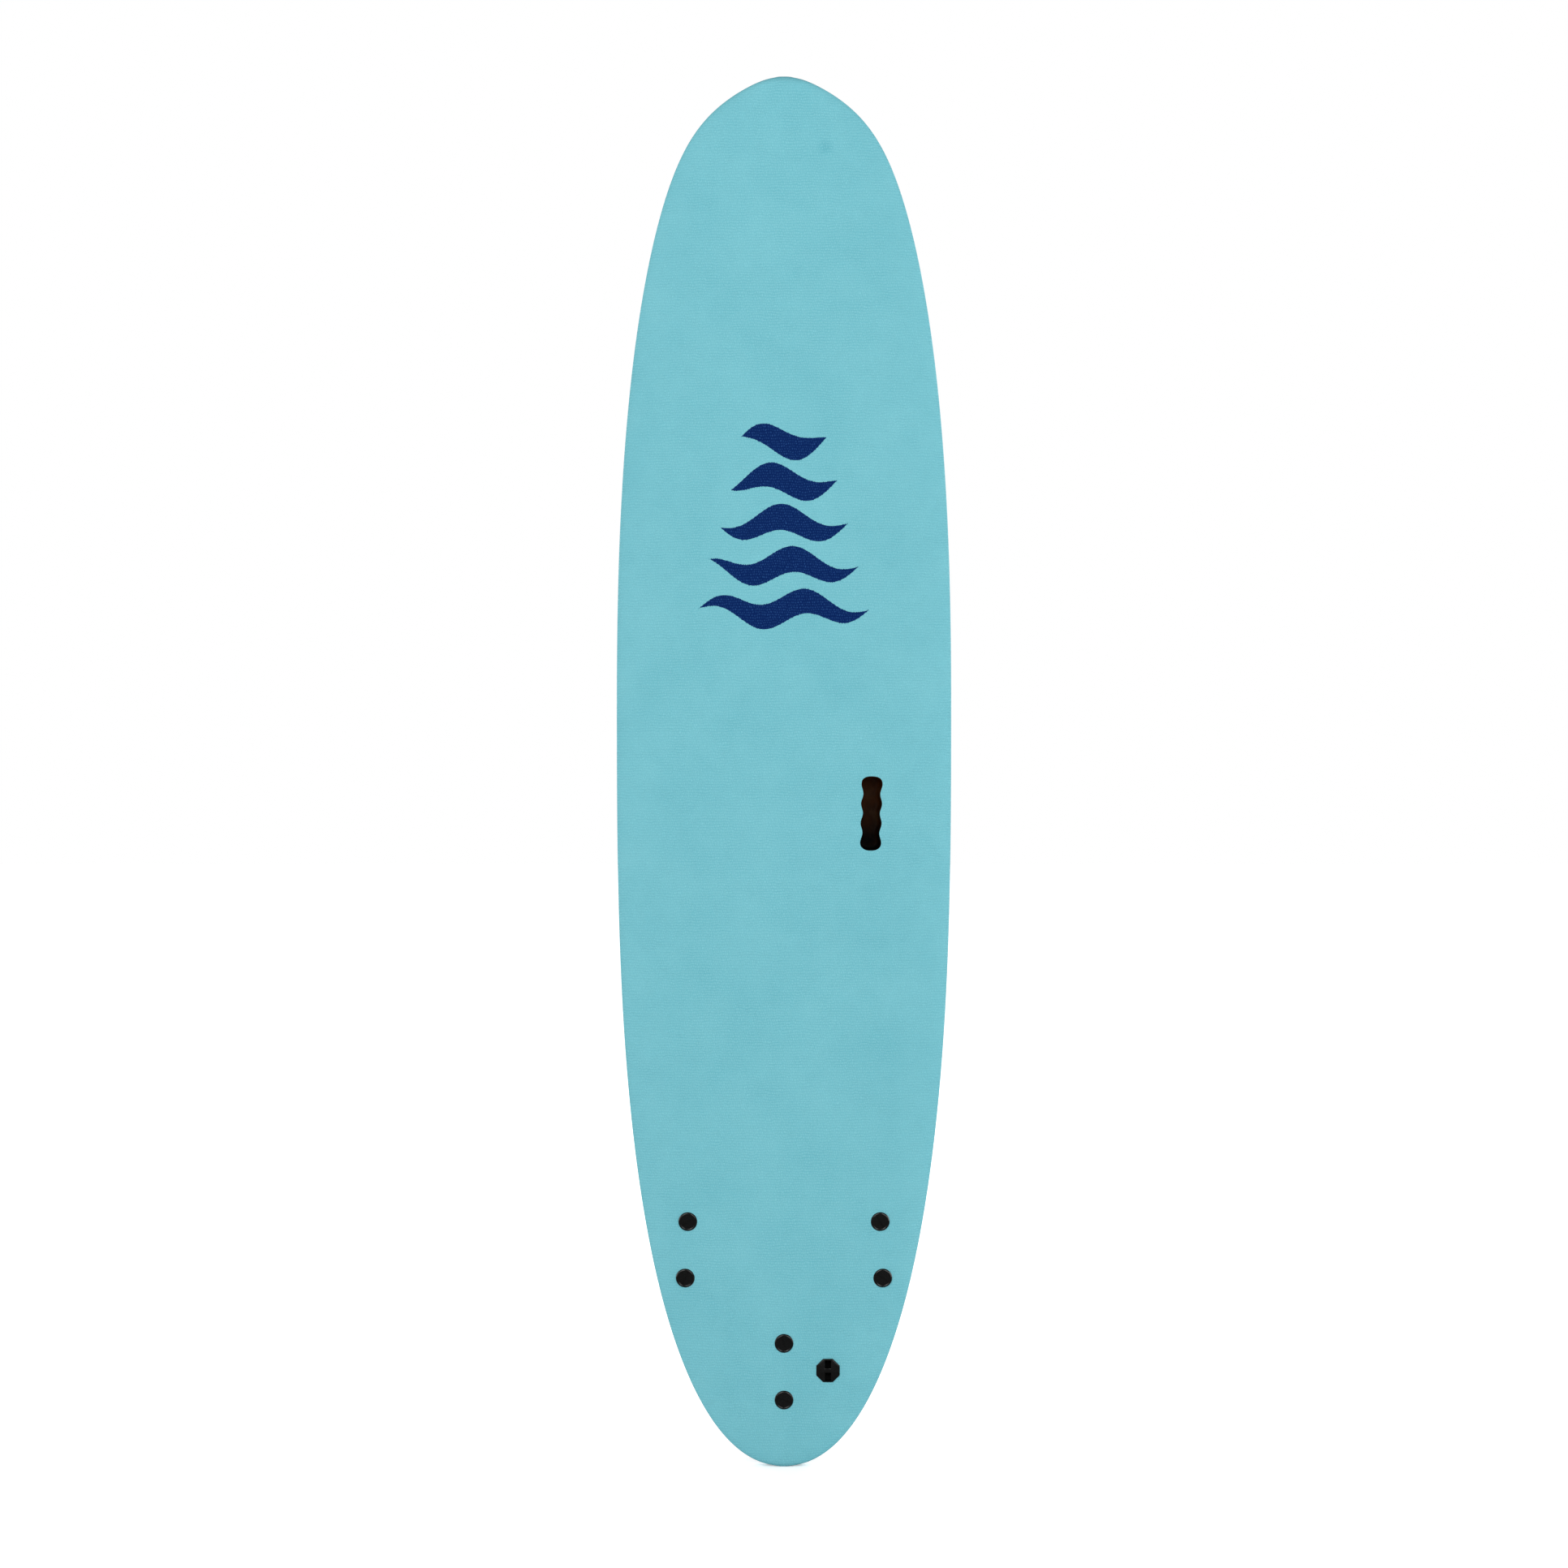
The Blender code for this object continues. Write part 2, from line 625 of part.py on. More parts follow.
def build_handle(core, skin, parts, tools, looks):
    deck = deck_surface(HANDLE_X, HANDLE_Z)
    step = 10 * MM
    rise = deck_surface(HANDLE_X + step, HANDLE_Z) - deck_surface(HANDLE_X - step, HANDLE_Z)
    slope = math.atan(rise / (2 * step))
    place = facing_bottom(HANDLE_X, deck, HANDLE_Z)
    place = place @ Matrix.Rotation(slope, 4, "Z") @ Matrix.Rotation(HANDLE_TILT, 4, "Y")
    rings = [scallop(HANDLE_WALL, HANDLE_DEPTH + HANDLE_WALL), scallop(HANDLE_WALL, 0.0),
             scallop(0.0, 0.0), scallop(0.0, HANDLE_DEPTH)]
    make_stack("handle_cup", rings, looks["cup"], parts, place)
    hole = [scallop(HANDLE_WALL + FIT, -OVERSHOOT), scallop(HANDLE_WALL + FIT, HANDLE_DEPTH + HANDLE_WALL + FIT)]
    tool = make_stack("handle_recess", hole, None, tools, place)
    cut(core, tool)
    cut(skin, tool)


clear_scene()
parts = make_collection("surfboard")
tools = make_collection("cutters")
looks = {
    "skin": make_material("skin_foam", (0.17, 0.54, 0.62), 0.75),
    "slick": make_material("slick_plastic", (0.003, 0.018, 0.085), 0.35),
    "black": make_material("black_nylon", (0.006, 0.006, 0.006), 0.3),
    "cup": make_material("cup_plastic", (0.012, 0.009, 0.008), 0.5),
    "steel": make_material("screw_steel", (0.6, 0.58, 0.55), 0.25, 1.0),
    "foam": make_material("core_foam", (0.85, 0.85, 0.83), 0.9),
    "wood": make_material("stringer_plywood", (0.55, 0.36, 0.18), 0.7),
    "rubber": make_material("washer_rubber", (0.02, 0.02, 0.02), 0.8),
}

skin = build_skin(looks["skin"], parts)
slick = build_slick(looks["slick"], parts)
edge = STRINGER_AT + STRINGER_THICK / 2 + FIT
inner_edge = STRINGER_AT - STRINGER_THICK / 2 - FIT
wide = BOARD_WIDTH
core_left = build_core("core_left", -wide, -edge, looks["foam"], parts, tools)
core_centre = build_core("core_centre", -inner_edge, inner_edge, looks["foam"], parts, tools)
core_right = build_core("core_right", edge, wide, looks["foam"], parts, tools)
for tag, side in (("left", -1), ("right", 1)):
    middle = side * STRINGER_AT
    half = STRINGER_THICK / 2
    build_core("stringer_" + tag, middle - half, middle + half, looks["wood"], parts, tools)

left_turns = {"front": math.radians(-55), "rear": math.radians(-25)}
right_turns = {"front": math.radians(30), "rear": math.radians(55)}
centre_turns = {"front": math.radians(20), "rear": math.radians(70)}
build_fin_unit("left", -1, -SIDE_FIN_X, SIDE_FIN_Z, left_turns, core_left, skin, slick, parts, tools, looks)
build_fin_unit("right", 1, SIDE_FIN_X, SIDE_FIN_Z, right_turns, core_right, skin, slick, parts, tools, looks)
build_fin_unit("centre", 0, 0.0, CENTRE_FIN_Z, centre_turns, core_centre, skin, slick, parts, tools, looks)
build_leash(core_centre, skin, slick, parts, tools, looks)
build_handle(core_right, skin, parts, tools, looks)

for tool in tools.objects:
    tool.hide_render = True
    tool.display_type = "WIRE"
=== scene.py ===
import math

import bmesh
import bpy
from mathutils import Matrix, Vector


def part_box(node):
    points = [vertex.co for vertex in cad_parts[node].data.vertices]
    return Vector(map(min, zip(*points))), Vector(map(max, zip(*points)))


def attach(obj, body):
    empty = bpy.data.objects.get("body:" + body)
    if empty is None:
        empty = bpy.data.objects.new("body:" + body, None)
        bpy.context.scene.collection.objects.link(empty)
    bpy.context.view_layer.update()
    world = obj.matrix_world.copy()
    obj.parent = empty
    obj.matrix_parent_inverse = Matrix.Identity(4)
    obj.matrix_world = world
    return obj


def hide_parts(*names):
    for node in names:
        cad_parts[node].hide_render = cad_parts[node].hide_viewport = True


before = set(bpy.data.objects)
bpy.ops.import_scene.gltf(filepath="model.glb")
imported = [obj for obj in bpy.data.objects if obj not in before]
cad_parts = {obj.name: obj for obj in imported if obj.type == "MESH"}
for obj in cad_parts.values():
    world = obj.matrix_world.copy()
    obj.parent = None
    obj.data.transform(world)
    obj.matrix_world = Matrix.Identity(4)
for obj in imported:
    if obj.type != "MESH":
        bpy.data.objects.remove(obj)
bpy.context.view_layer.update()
mm = 0.001
stage = bpy.context.scene


class Field:
    # a node socket that takes plain arithmetic, so one formula serves numbers and node trees
    def __init__(self, tree, socket):
        self.tree = tree
        self.socket = socket

    def math(self, operation, *others, swap=False):
        node = self.tree.nodes.new("ShaderNodeMath")
        node.operation = operation
        values = [self, *others]
        if swap:
            values.reverse()
        for value, socket in zip(values, node.inputs):
            plug(value, socket)
        return Field(self.tree, node.outputs[0])

    def __add__(self, other):
        return self.math("ADD", other)

    def __sub__(self, other):
        return self.math("SUBTRACT", other)

    def __rsub__(self, other):
        return self.math("SUBTRACT", other, swap=True)

    def __mul__(self, other):
        return self.math("MULTIPLY", other)

    def __truediv__(self, other):
        return self.math("DIVIDE", other)

    def __rtruediv__(self, other):
        return self.math("DIVIDE", other, swap=True)

    def __pow__(self, other):
        return self.math("POWER", other)

    def __neg__(self):
        return self.math("MULTIPLY", -1.0)

    __radd__ = __add__
    __rmul__ = __mul__


def plug(value, socket):
    if isinstance(value, Field):
        value.tree.links.new(value.socket, socket)
    elif isinstance(value, bpy.types.NodeSocket):
        socket.id_data.links.new(value, socket)
    else:
        socket.default_value = value


def most(a, b):
    if isinstance(a, Field):
        return a.math("MAXIMUM", b)
    return b.math("MAXIMUM", a) if isinstance(b, Field) else max(a, b)


def least(a, b):
    if isinstance(a, Field):
        return a.math("MINIMUM", b)
    return b.math("MINIMUM", a) if isinstance(b, Field) else min(a, b)


def expOf(a):
    return a.math("EXPONENT") if isinstance(a, Field) else math.exp(a)


def between(a, low=0.0, high=1.0):
    return least(most(a, low), high)


def addNode(tree, kind, inputs=None, **settings):
    node = tree.nodes.new(kind)
    for key, value in settings.items():
        setattr(node, key, value)
    for key, value in (inputs or {}).items():
        plug(value, node.inputs[key])
    return node


def field(node, output=0):
    return Field(node.id_data, node.outputs[output])


def joinXyz(tree, x, y, z):
    return field(addNode(tree, "ShaderNodeCombineXYZ", {"X": x, "Y": y, "Z": z}))


def splitXyz(vector):
    node = addNode(vector.tree, "ShaderNodeSeparateXYZ", {"Vector": vector})
    return [field(node, axis) for axis in "XYZ"]


def newTree(name, sizes):
    tree = bpy.data.node_groups.new(name, "GeometryNodeTree")
    tree.is_modifier = True
    tree.interface.new_socket("Geometry", in_out="OUTPUT", socket_type="NodeSocketGeometry")
    for key, value in sizes.items():
        kind = "NodeSocketInt" if isinstance(value, int) else "NodeSocketFloat"
        tree.interface.new_socket(key, in_out="INPUT", socket_type=kind).default_value = value
    tree.interface.new_socket("Material", in_out="INPUT", socket_type="NodeSocketMaterial")
    entry = tree.nodes.new("NodeGroupInput")
    return tree, {key: Field(tree, entry.outputs[key]) for key in [*sizes, "Material"]}


def endTree(tree, geometry, material):
    made = addNode(tree, "GeometryNodeRealizeInstances", {"Geometry": geometry})
    smooth = addNode(tree, "GeometryNodeSetShadeSmooth", {"Geometry": made.outputs[0]})
    painted = addNode(tree, "GeometryNodeSetMaterial", {"Geometry": smooth.outputs[0], "Material": material})
    last = tree.nodes.new("NodeGroupOutput")
    tree.links.new(painted.outputs[0], last.inputs["Geometry"])


def gridShares(tree, columns, rows):
    # a flat grid and, at each of its points, the column and row as whole numbers
    grid = addNode(tree, "GeometryNodeMeshGrid", {
        "Size X": 1.0, "Size Y": 1.0, "Vertices X": columns + 1, "Vertices Y": rows + 1})
    x, y, z = splitXyz(field(addNode(tree, "GeometryNodeInputPosition")))
    return grid.outputs["Mesh"], ((x + 0.5) * columns).math("ROUND"), ((y + 0.5) * rows).math("ROUND")


def placeGrid(tree, mesh, place):
    moved = addNode(tree, "GeometryNodeSetPosition", {"Geometry": mesh, "Position": place})
    return addNode(tree, "GeometryNodeMergeByDistance", {
        "Geometry": moved.outputs[0], "Distance": 0.002 * mm}).outputs[0]


def plainMesh(piece):
    graph = bpy.context.evaluated_depsgraph_get()
    mesh = bpy.data.meshes.new_from_object(
        piece.evaluated_get(graph), preserve_all_data_layers=True, depsgraph=graph)
    piece.modifiers.clear()
    piece.data = mesh
    mesh.name = piece.name


def runTree(name, tree, sizes, material):
    piece = bpy.data.objects.new(name, bpy.data.meshes.new(name))
    stage.collection.objects.link(piece)
    step = piece.modifiers.new(tree.name, "NODES")
    step.node_group = tree
    values = {**sizes, "Material": material}
    for item in tree.interface.items_tree:
        if item.in_out == "INPUT" and item.name in values:
            step[item.identifier] = values[item.name]
    plainMesh(piece)
    return piece


def meshPiece(name, material, *stacks, looped=False):
    # stacks of rings joined into closed skins
    bm = bmesh.new()
    for rings in stacks:
        rows = [[bm.verts.new(point) for point in ring] for ring in rings]
        pairs = list(zip(rows, rows[1:])) + ([(rows[-1], rows[0])] if looped else [])
        for low, high in pairs:
            for i in range(len(low)):
                j = (i + 1) % len(low)
                bm.faces.new((low[i], low[j], high[j], high[i]))
        if not looped:
            bm.faces.new(rows[0])
            bm.faces.new(rows[-1])
    bmesh.ops.remove_doubles(bm, verts=bm.verts, dist=0.002 * mm)
    bmesh.ops.recalc_face_normals(bm, faces=bm.faces)
    mesh = bpy.data.meshes.new(name)
    bm.to_mesh(mesh)
    bm.free()
    if material:
        mesh.materials.append(material)
    piece = bpy.data.objects.new(name, mesh)
    stage.collection.objects.link(piece)
    return piece


def cutAway(piece, tool):
    step = piece.modifiers.new("cut", "BOOLEAN")
    step.operation = "DIFFERENCE"
    step.solver = "EXACT"
    step.object = tool
    plainMesh(piece)
    bpy.data.objects.remove(tool)


def softenEdges(piece, width, segments=2, angle=30):
    step = piece.modifiers.new("soften", "BEVEL")
    step.width = width
    step.segments = segments
    step.limit_method = "ANGLE"
    step.angle_limit = math.radians(angle)
    plainMesh(piece)


def settle(piece, body, nodes, sharp=35):
    piece.data.shade_smooth()
    piece.data.set_sharp_from_angle(angle=math.radians(sharp))
    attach(piece, body)
    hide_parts(*nodes)
    print("piece:", piece.name, len(piece.data.polygons), "faces")


def circle(radius, level, count=64):
    turn = 2 * math.pi / count
    return [Vector((radius * math.cos(turn * i), level, radius * math.sin(turn * i))) for i in range(count)]


def stadium(length, width, level, middle=0.0, arc=20, straight=1):
    radius = max(width / 2, 0.0)
    reach = length / 2 - width / 2
    ring = []
    for end in (1, -1):
        for i in range(arc + 1):
            angle = math.pi * (i / arc + (0 if end > 0 else 1))
            across, along = radius * math.cos(angle), radius * math.sin(angle)
            ring.append(Vector((across, level, middle + end * reach + along)))
        for i in range(1, straight):
            ring.append(Vector((-end * radius, level, middle + end * reach * (1 - 2 * i / straight))))
    return ring


def octagon(flats, level):
    corner = flats / 2 * math.tan(math.pi / 8)
    side = flats / 2
    points = [(side, -corner), (side, corner), (corner, side), (-corner, side),
              (-side, corner), (-side, -corner), (-corner, -side), (corner, -side)]
    return [Vector((x, level, z)) for x, z in points]


def moved(rings, place):
    return [[place @ point for point in ring] for ring in rings]


# the board's surface: every size in metres, the length and width from the frame
skinLow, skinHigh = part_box("deck_skin")
boardShape = {
    "Length": skinHigh.z - skinLow.z, "Width": skinHigh.x - skinLow.x, "Wide Point": 0.545,
    "Tail Swell": 2.785, "Tail Round": 2.162,
    "Nose Swell": 2.367, "Nose Round": 2.709, "Nose Point": 0.456, "Nose Reach": 29.9,
    "Deck Lift": 66.0 * mm, "Lift Rate": 6.0,
    "Belly": 84.0 * mm, "Flat Point": 0.429,
    "Tail Rocker": 55.3 * mm, "Tail Power": 1.814,
    "Nose Rocker": 116.0 * mm, "Nose Power": 2.9,
    "Tail Tip": 9.0 * mm, "Nose Tip": 16.0 * mm, "Tip Flat": 0.6 * mm,
    "Apex Share": 0.42, "Crown Flat": 2.6, "Crown Round": 2.2, "Tuck": 12.0 * mm,
}
layers = {"skin": 5.0 * mm, "slick": 1.5 * mm, "fit": 0.3 * mm}


def halfWidth(s, z, inset=0.0):
    tip = s["Tip Flat"] / s["Length"]
    share = between((z - inset) / (s["Length"] - 2 * inset), tip, 1 - tip)
    tail = most(s["Wide Point"] - share, 0.0) / s["Wide Point"]
    nose = most(share - s["Wide Point"], 0.0) / (1 - s["Wide Point"])
    tailShape = (1 - tail ** s["Tail Swell"]) ** (1 / s["Tail Round"])
    noseShape = (1 - nose ** s["Nose Swell"]) ** (1 / s["Nose Round"])
    pointed = 1 - s["Nose Point"] * nose ** s["Nose Reach"]
    return (s["Width"] / 2 - inset) * tailShape * noseShape * pointed


def roundedEnd(s, radius, run):
    short = most(radius - most(run, s["Tip Flat"]), 0.0)
    return radius - (radius ** 2 - short ** 2) ** 0.5


def tipShrink(s, z):
    return roundedEnd(s, s["Tail Tip"], z) + roundedEnd(s, s["Nose Tip"], s["Length"] - z)


def deckDatum(s):
    return (s["Tail Rocker"] - s["Belly"]) / 2


def deckLine(s, z):
    lift = s["Deck Lift"] * expOf(-s["Lift Rate"] * (1 - z / s["Length"]))
    return deckDatum(s) - lift + tipShrink(s, z)


def bottomLine(s, z):
    share = z / s["Length"]
    tail = most(s["Flat Point"] - share, 0.0) / s["Flat Point"]
    nose = most(share - s["Flat Point"], 0.0) / (1 - s["Flat Point"])
    rise = s["Tail Rocker"] * tail ** s["Tail Power"] + s["Nose Rocker"] * nose ** s["Nose Power"]
    return deckDatum(s) + s["Belly"] - rise - tipShrink(s, z) / 2


def apexLine(s, z):
    deck = deckLine(s, z)
    return deck + s["Apex Share"] * (bottomLine(s, z) - deck)


def deckDrop(s, share):
    return 1 - most(1 - share ** s["Crown Flat"], 0.0) ** (1 / s["Crown Round"])


def deckAt(x, z):
    top = deckLine(boardShape, z)
    share = min(abs(x) / halfWidth(boardShape, z), 1.0)
    return top + (apexLine(boardShape, z) - top) * deckDrop(boardShape, share)


def bottomAt(z):
    return bottomLine(boardShape, z)


def tuckAt(s, z):
    return s["Tuck"] * halfWidth(s, z) / (s["Width"] / 2)


def stations(s, row, inset):
    # rows crowd together at the tips, and the first and last few close the ends
    cap = between(least(row, s["Rows"] - row) / s["Cap Rows"])
    run = between((row - s["Cap Rows"]) / (s["Rows"] - 2 * s["Cap Rows"]))
    eased = (1 - (run * math.pi).math("COSINE")) / 2
    share = run + s["Tip Crowding"] * (eased - run)
    return cap, inset + share * (s["Length"] - 2 * inset)


handleShape = {
    "x": 154.0 * mm, "z": 1152.0 * mm, "length": 129.6 * mm, "half": 16.1 * mm, "scallop": 1.8 * mm,
    "pitch": 34.5 * mm, "wall": 2.0 * mm, "lip": 0.6 * mm, "tilt": math.radians(1.4),
    "ends": {"nose": 2.5, "tail": 2.3},
}


# shader groups that several finishes share
def newGroup(name, inputs, outputs):
    tree = bpy.data.node_groups.new(name, "ShaderNodeTree")
    for key, value in inputs.items():
        kind = "NodeSocketVector" if value is None else "NodeSocketFloat"
        socket = tree.interface.new_socket(key, in_out="INPUT", socket_type=kind)
        if value is not None:
            socket.default_value = value
    for key in outputs:
        tree.interface.new_socket(key, in_out="OUTPUT", socket_type="NodeSocketFloat")
    entry = tree.nodes.new("NodeGroupInput")
    last = tree.nodes.new("NodeGroupOutput")
    return tree, {key: Field(tree, entry.outputs[key]) for key in inputs}, last.inputs


def noiseField(tree, vector, scale, detail=2.0, dimensions="3D"):
    return field(addNode(tree, "ShaderNodeTexNoise", {
        "Vector": vector, "Scale": scale, "Detail": detail}, noise_dimensions=dimensions))


def makeGrainGroup():
    # fine moulded grain with a slower drift of tone
    tree, given, out = newGroup(
        "mouldedGrain", {"Vector": None, "Grain Scale": 900.0, "Drift Scale": 14.0}, ["Grain", "Drift"])
    plug(noiseField(tree, given["Vector"], given["Grain Scale"], 3.0), out["Grain"])
    plug(noiseField(tree, given["Vector"], given["Drift Scale"], 4.0), out["Drift"])
    return tree


def makeEmbossGroup():
    # rows of small lengthwise pebbles, each a little off its place; the rows wander
    tree, given, out = newGroup(
        "embossedRows",
        {"Vector": None, "Pitch Across": 3.9 * mm, "Pitch Along": 4.7 * mm, "Wander": 5.0 * mm},
        ["Pebble", "Tone", "Groove"])
    x, y, z = splitXyz(given["Vector"])
    slow = noiseField(tree, given["Vector"], 22.0, 2.0, "2D") - 0.5
    drift = addNode(tree, "ShaderNodeTexNoise", {
        "Vector": given["Vector"], "Scale": 75.0, "Detail": 1.0}, noise_dimensions="2D")
    driftAcross, driftAlong = splitXyz(field(drift, "Color"))[:2]
    x = x + (driftAcross - 0.5) * given["Wander"]
    along = (y + (slow + (driftAlong - 0.5) * 0.7) * given["Wander"]) / given["Pitch Along"]
    combed = between(noiseField(tree, joinXyz(tree, x, y, 3.0), 34.0, 1.0) * 3.0 - 1.0)
    row = along.math("FLOOR")
    rowPlace = along.math("FRACT") - 0.5
    across = x / given["Pitch Across"] + (row * 0.37).math("FRACT")
    cell = joinXyz(tree, across.math("FLOOR"), row, 0.0)
    chance = addNode(tree, "ShaderNodeTexWhiteNoise", {"Vector": cell}, noise_dimensions="2D")
    shiftAcross, shiftAlong, tone = splitXyz(field(chance, "Color"))
    dx = (across.math("FRACT") - 0.5 + (shiftAcross - 0.5) * 0.3) / 0.35
    dy = (rowPlace + (shiftAlong - 0.5) * 0.24) / 0.38
    plug(most(1 - dx * dx - dy * dy, 0.0) ** 0.8, out["Pebble"])
    plug(tone, out["Tone"])
    plug(between((rowPlace.math("ABSOLUTE") - 0.34) / 0.14) * (0.25 + 0.75 * combed), out["Groove"])
    return tree


mouldedGrain = makeGrainGroup()
embossedRows = makeEmbossGroup()


def newMaterial(name, **sockets):
    material = bpy.data.materials.new(name)
    material.use_nodes = True
    tree = material.node_tree
    shader = tree.nodes["Principled BSDF"]
    for key, value in sockets.items():
        shader.inputs[key.replace("_", " ")].default_value = value
    return material, tree, shader


def objectPlace(tree):
    return field(addNode(tree, "ShaderNodeTexCoord"), "Object")


def useGroup(tree, group, **inputs):
    node = addNode(tree, "ShaderNodeGroup", node_tree=group)
    for key, value in inputs.items():
        plug(value, node.inputs[key.replace("_", " ")])
    return node


def mixColour(tree, share, first, second, clamped=True):
    node = addNode(tree, "ShaderNodeMix", data_type="RGBA", clamp_factor=clamped)
    plug(share, node.inputs["Factor"])
    plug(first, node.inputs[6])
    plug(second, node.inputs[7])
    return Field(tree, node.outputs[2])


def colour(red, green, blue):
    # screen values 0-255 to the shader's own scale
    parts = [((c / 255 + 0.055) / 1.055) ** 2.4 if c > 10 else c / 255 / 12.92 for c in (red, green, blue)]
    return (*parts, 1.0)


def addRelief(tree, shader, height, distance, strength=1.0):
    bump = addNode(tree, "ShaderNodeBump", {"Height": height, "Distance": distance, "Strength": strength})
    plug(bump.outputs[0], shader.inputs["Normal"])


deckFinish = {
    # painted highlight: the pebble weights lift the foam towards its light end, and the ink's light end
    # colours the pebble tops
    "foamLow": colour(103, 173, 185), "foamHigh": colour(124, 190, 200),
    "ink": colour(0, 31, 84), "inkHighlight": colour(30, 66, 122),
    "emboss": 0.35 * mm, "patchScale": 9.0, "fleckScale": 380.0, "roughness": 0.50, "roughSpread": 0.12,
    "foamBase": 0.3, "pebbleHighlight": 0.3, "toneHighlight": 0.35,
    "patchDepth": 0.5, "fleckDepth": 0.8, "grooveShade": 0.35,
    # painted shade: the groove weight darkens the foam in the grooves between the rows
    "waveStart": 1.512, "waveStep": 0.074, "waveCount": 5, "waveSpan": 0.152, "waveShrink": 0.019,
    "spotAcross": 0.072, "spotAlong": 2.316, "spotRadius": 0.016, "spotDepth": 0.45,
    "waveThick": 0.048, "waveSwing": 0.014, "waveLength": 0.152, "waveTurn": 0.9,
    "inkEdge": 0.6 * mm, "inkBite": 1.2 * mm, "biteLevel": 0.6,
}


def makeDeckMaterial(d):
    material, tree, shader = newMaterial(
        "deckFoam", Specular_IOR_Level=0.04, Sheen_Weight=0.02, Sheen_Roughness=0.35)
    flow = field(addNode(tree, "ShaderNodeUVMap", uv_map="flow"))
    rows = useGroup(tree, embossedRows, Vector=flow)
    x, y, z = splitXyz(objectPlace(tree))
    pebble, tone, groove = field(rows, "Pebble"), field(rows, "Tone"), field(rows, "Groove")
    patch = noiseField(tree, flow, d["patchScale"], 3.0, "2D")
    fleck = noiseField(tree, flow, d["fleckScale"], 1.0, "2D")
    # wave strokes in ink, thickest at the centre line, their edges bitten by the pebbles
    bite = (pebble - d["biteLevel"]) * d["inkBite"]
    ink = None
    for k in range(d["waveCount"]):
        span = d["waveSpan"] - k * d["waveShrink"]
        centre = d["waveStart"] + k * d["waveStep"]
        swing = (x * (2 * math.pi / d["waveLength"]) + k * d["waveTurn"]).math("SINE") * d["waveSwing"]
        full = most(1 - (x / span) ** 2, 0.0) * (d["waveThick"] / 2)
        stroke = between((full - (z - centre - swing).math("ABSOLUTE") + bite) / d["inkEdge"])
        ink = stroke if ink is None else most(ink, stroke)
    ink = ink * (y.math("LESS_THAN", 0.0))
    # painted highlight on the pebble tops, each by its random tone; patches and flecks are the foam's random
    # tone
    shade = d["foamBase"] + pebble * (d["pebbleHighlight"] + d["toneHighlight"] * tone)
    shade = shade + (patch - 0.5) * d["patchDepth"] + (fleck - 0.5) * d["fleckDepth"]
    # painted shade in the grooves between the rows
    shade = shade - groove * d["grooveShade"]
    # a soft darker spot on the deck side near the nose
    away = ((x - d["spotAcross"]) ** 2 + (z - d["spotAlong"]) ** 2) ** 0.5 / d["spotRadius"]
    darkSpot = (1 - between(away + (patch - 0.5) * 0.6)) * y.math("LESS_THAN", 0.0)
    shade = shade - darkSpot * d["spotDepth"]
    foam = mixColour(tree, between(shade, -0.4), d["foamLow"], d["foamHigh"], False)
    # painted highlight: the ink is lighter on the pebble tops
    printed = mixColour(tree, between(pebble * (0.35 + 0.65 * tone)), d["ink"], d["inkHighlight"])
    plug(mixColour(tree, ink, foam, printed), shader.inputs["Base Color"])
    plug(d["roughness"] + d["roughSpread"] * patch, shader.inputs["Roughness"])
    addRelief(tree, shader, pebble * (0.6 + 0.4 * tone) - groove * 0.5, d["emboss"])
    return material


slickFinish = {
    "navy": colour(0, 19, 60), "navyHigh": colour(2, 26, 70), "stripe": colour(104, 182, 195),
    "stripeLow": 0.512, "stripeStep": 0.026, "stripeCount": 4, "stripeHalf": 0.043, "stripeShrink": 0.009,
    "stripeThick": 0.011, "stripeEdge": 0.4 * mm, "roughness": 0.26, "roughSpread": 0.08,
    "scratchAcross": 260.0, "scratchAlong": 6.0, "scratchRelief": 0.03 * mm,
}


def makeSlickMaterial(d):
    material, tree, shader = newMaterial("slickSheet", Specular_IOR_Level=0.05)
    place = objectPlace(tree)
    x, y, z = splitXyz(place)
    grain = useGroup(tree, mouldedGrain, Vector=place, Grain_Scale=420.0, Drift_Scale=5.0)
    drift = field(grain, "Drift")
    combed = joinXyz(tree, x * d["scratchAcross"], 0.0, z * d["scratchAlong"])
    scratch = noiseField(tree, combed, 1.0, 3.0)
    stripe = None
    for k in range(d["stripeCount"]):
        half = d["stripeHalf"] - k * d["stripeShrink"]
        above = z - d["stripeLow"] - k * d["stripeStep"]
        inside = least(half - x.math("ABSOLUTE"), d["stripeThick"] / 2 - above.math("ABSOLUTE"))
        bar = between(inside / d["stripeEdge"])
        stripe = bar if stripe is None else most(stripe, bar)
    navy = mixColour(tree, between(drift * 1.6 - 0.4), d["navy"], d["navyHigh"])
    plug(mixColour(tree, stripe, navy, d["stripe"]), shader.inputs["Base Color"])
    plug(d["roughness"] + d["roughSpread"] * drift + d["roughSpread"] * scratch, shader.inputs["Roughness"])
    addRelief(tree, shader, field(grain, "Grain") * 0.3 + scratch, d["scratchRelief"])
    return material


def makePlastic(name, low, high, rough, roughSpread, grainScale, relief, specular=0.5):
    material, tree, shader = newMaterial(name, Specular_IOR_Level=specular)
    grain = useGroup(tree, mouldedGrain, Vector=objectPlace(tree), Grain_Scale=grainScale, Drift_Scale=30.0)
    drift = field(grain, "Drift")
    plug(mixColour(tree, between(drift * 2 - 0.5), low, high), shader.inputs["Base Color"])
    plug(rough + roughSpread * drift, shader.inputs["Roughness"])
    addRelief(tree, shader, field(grain, "Grain"), relief)
    return material


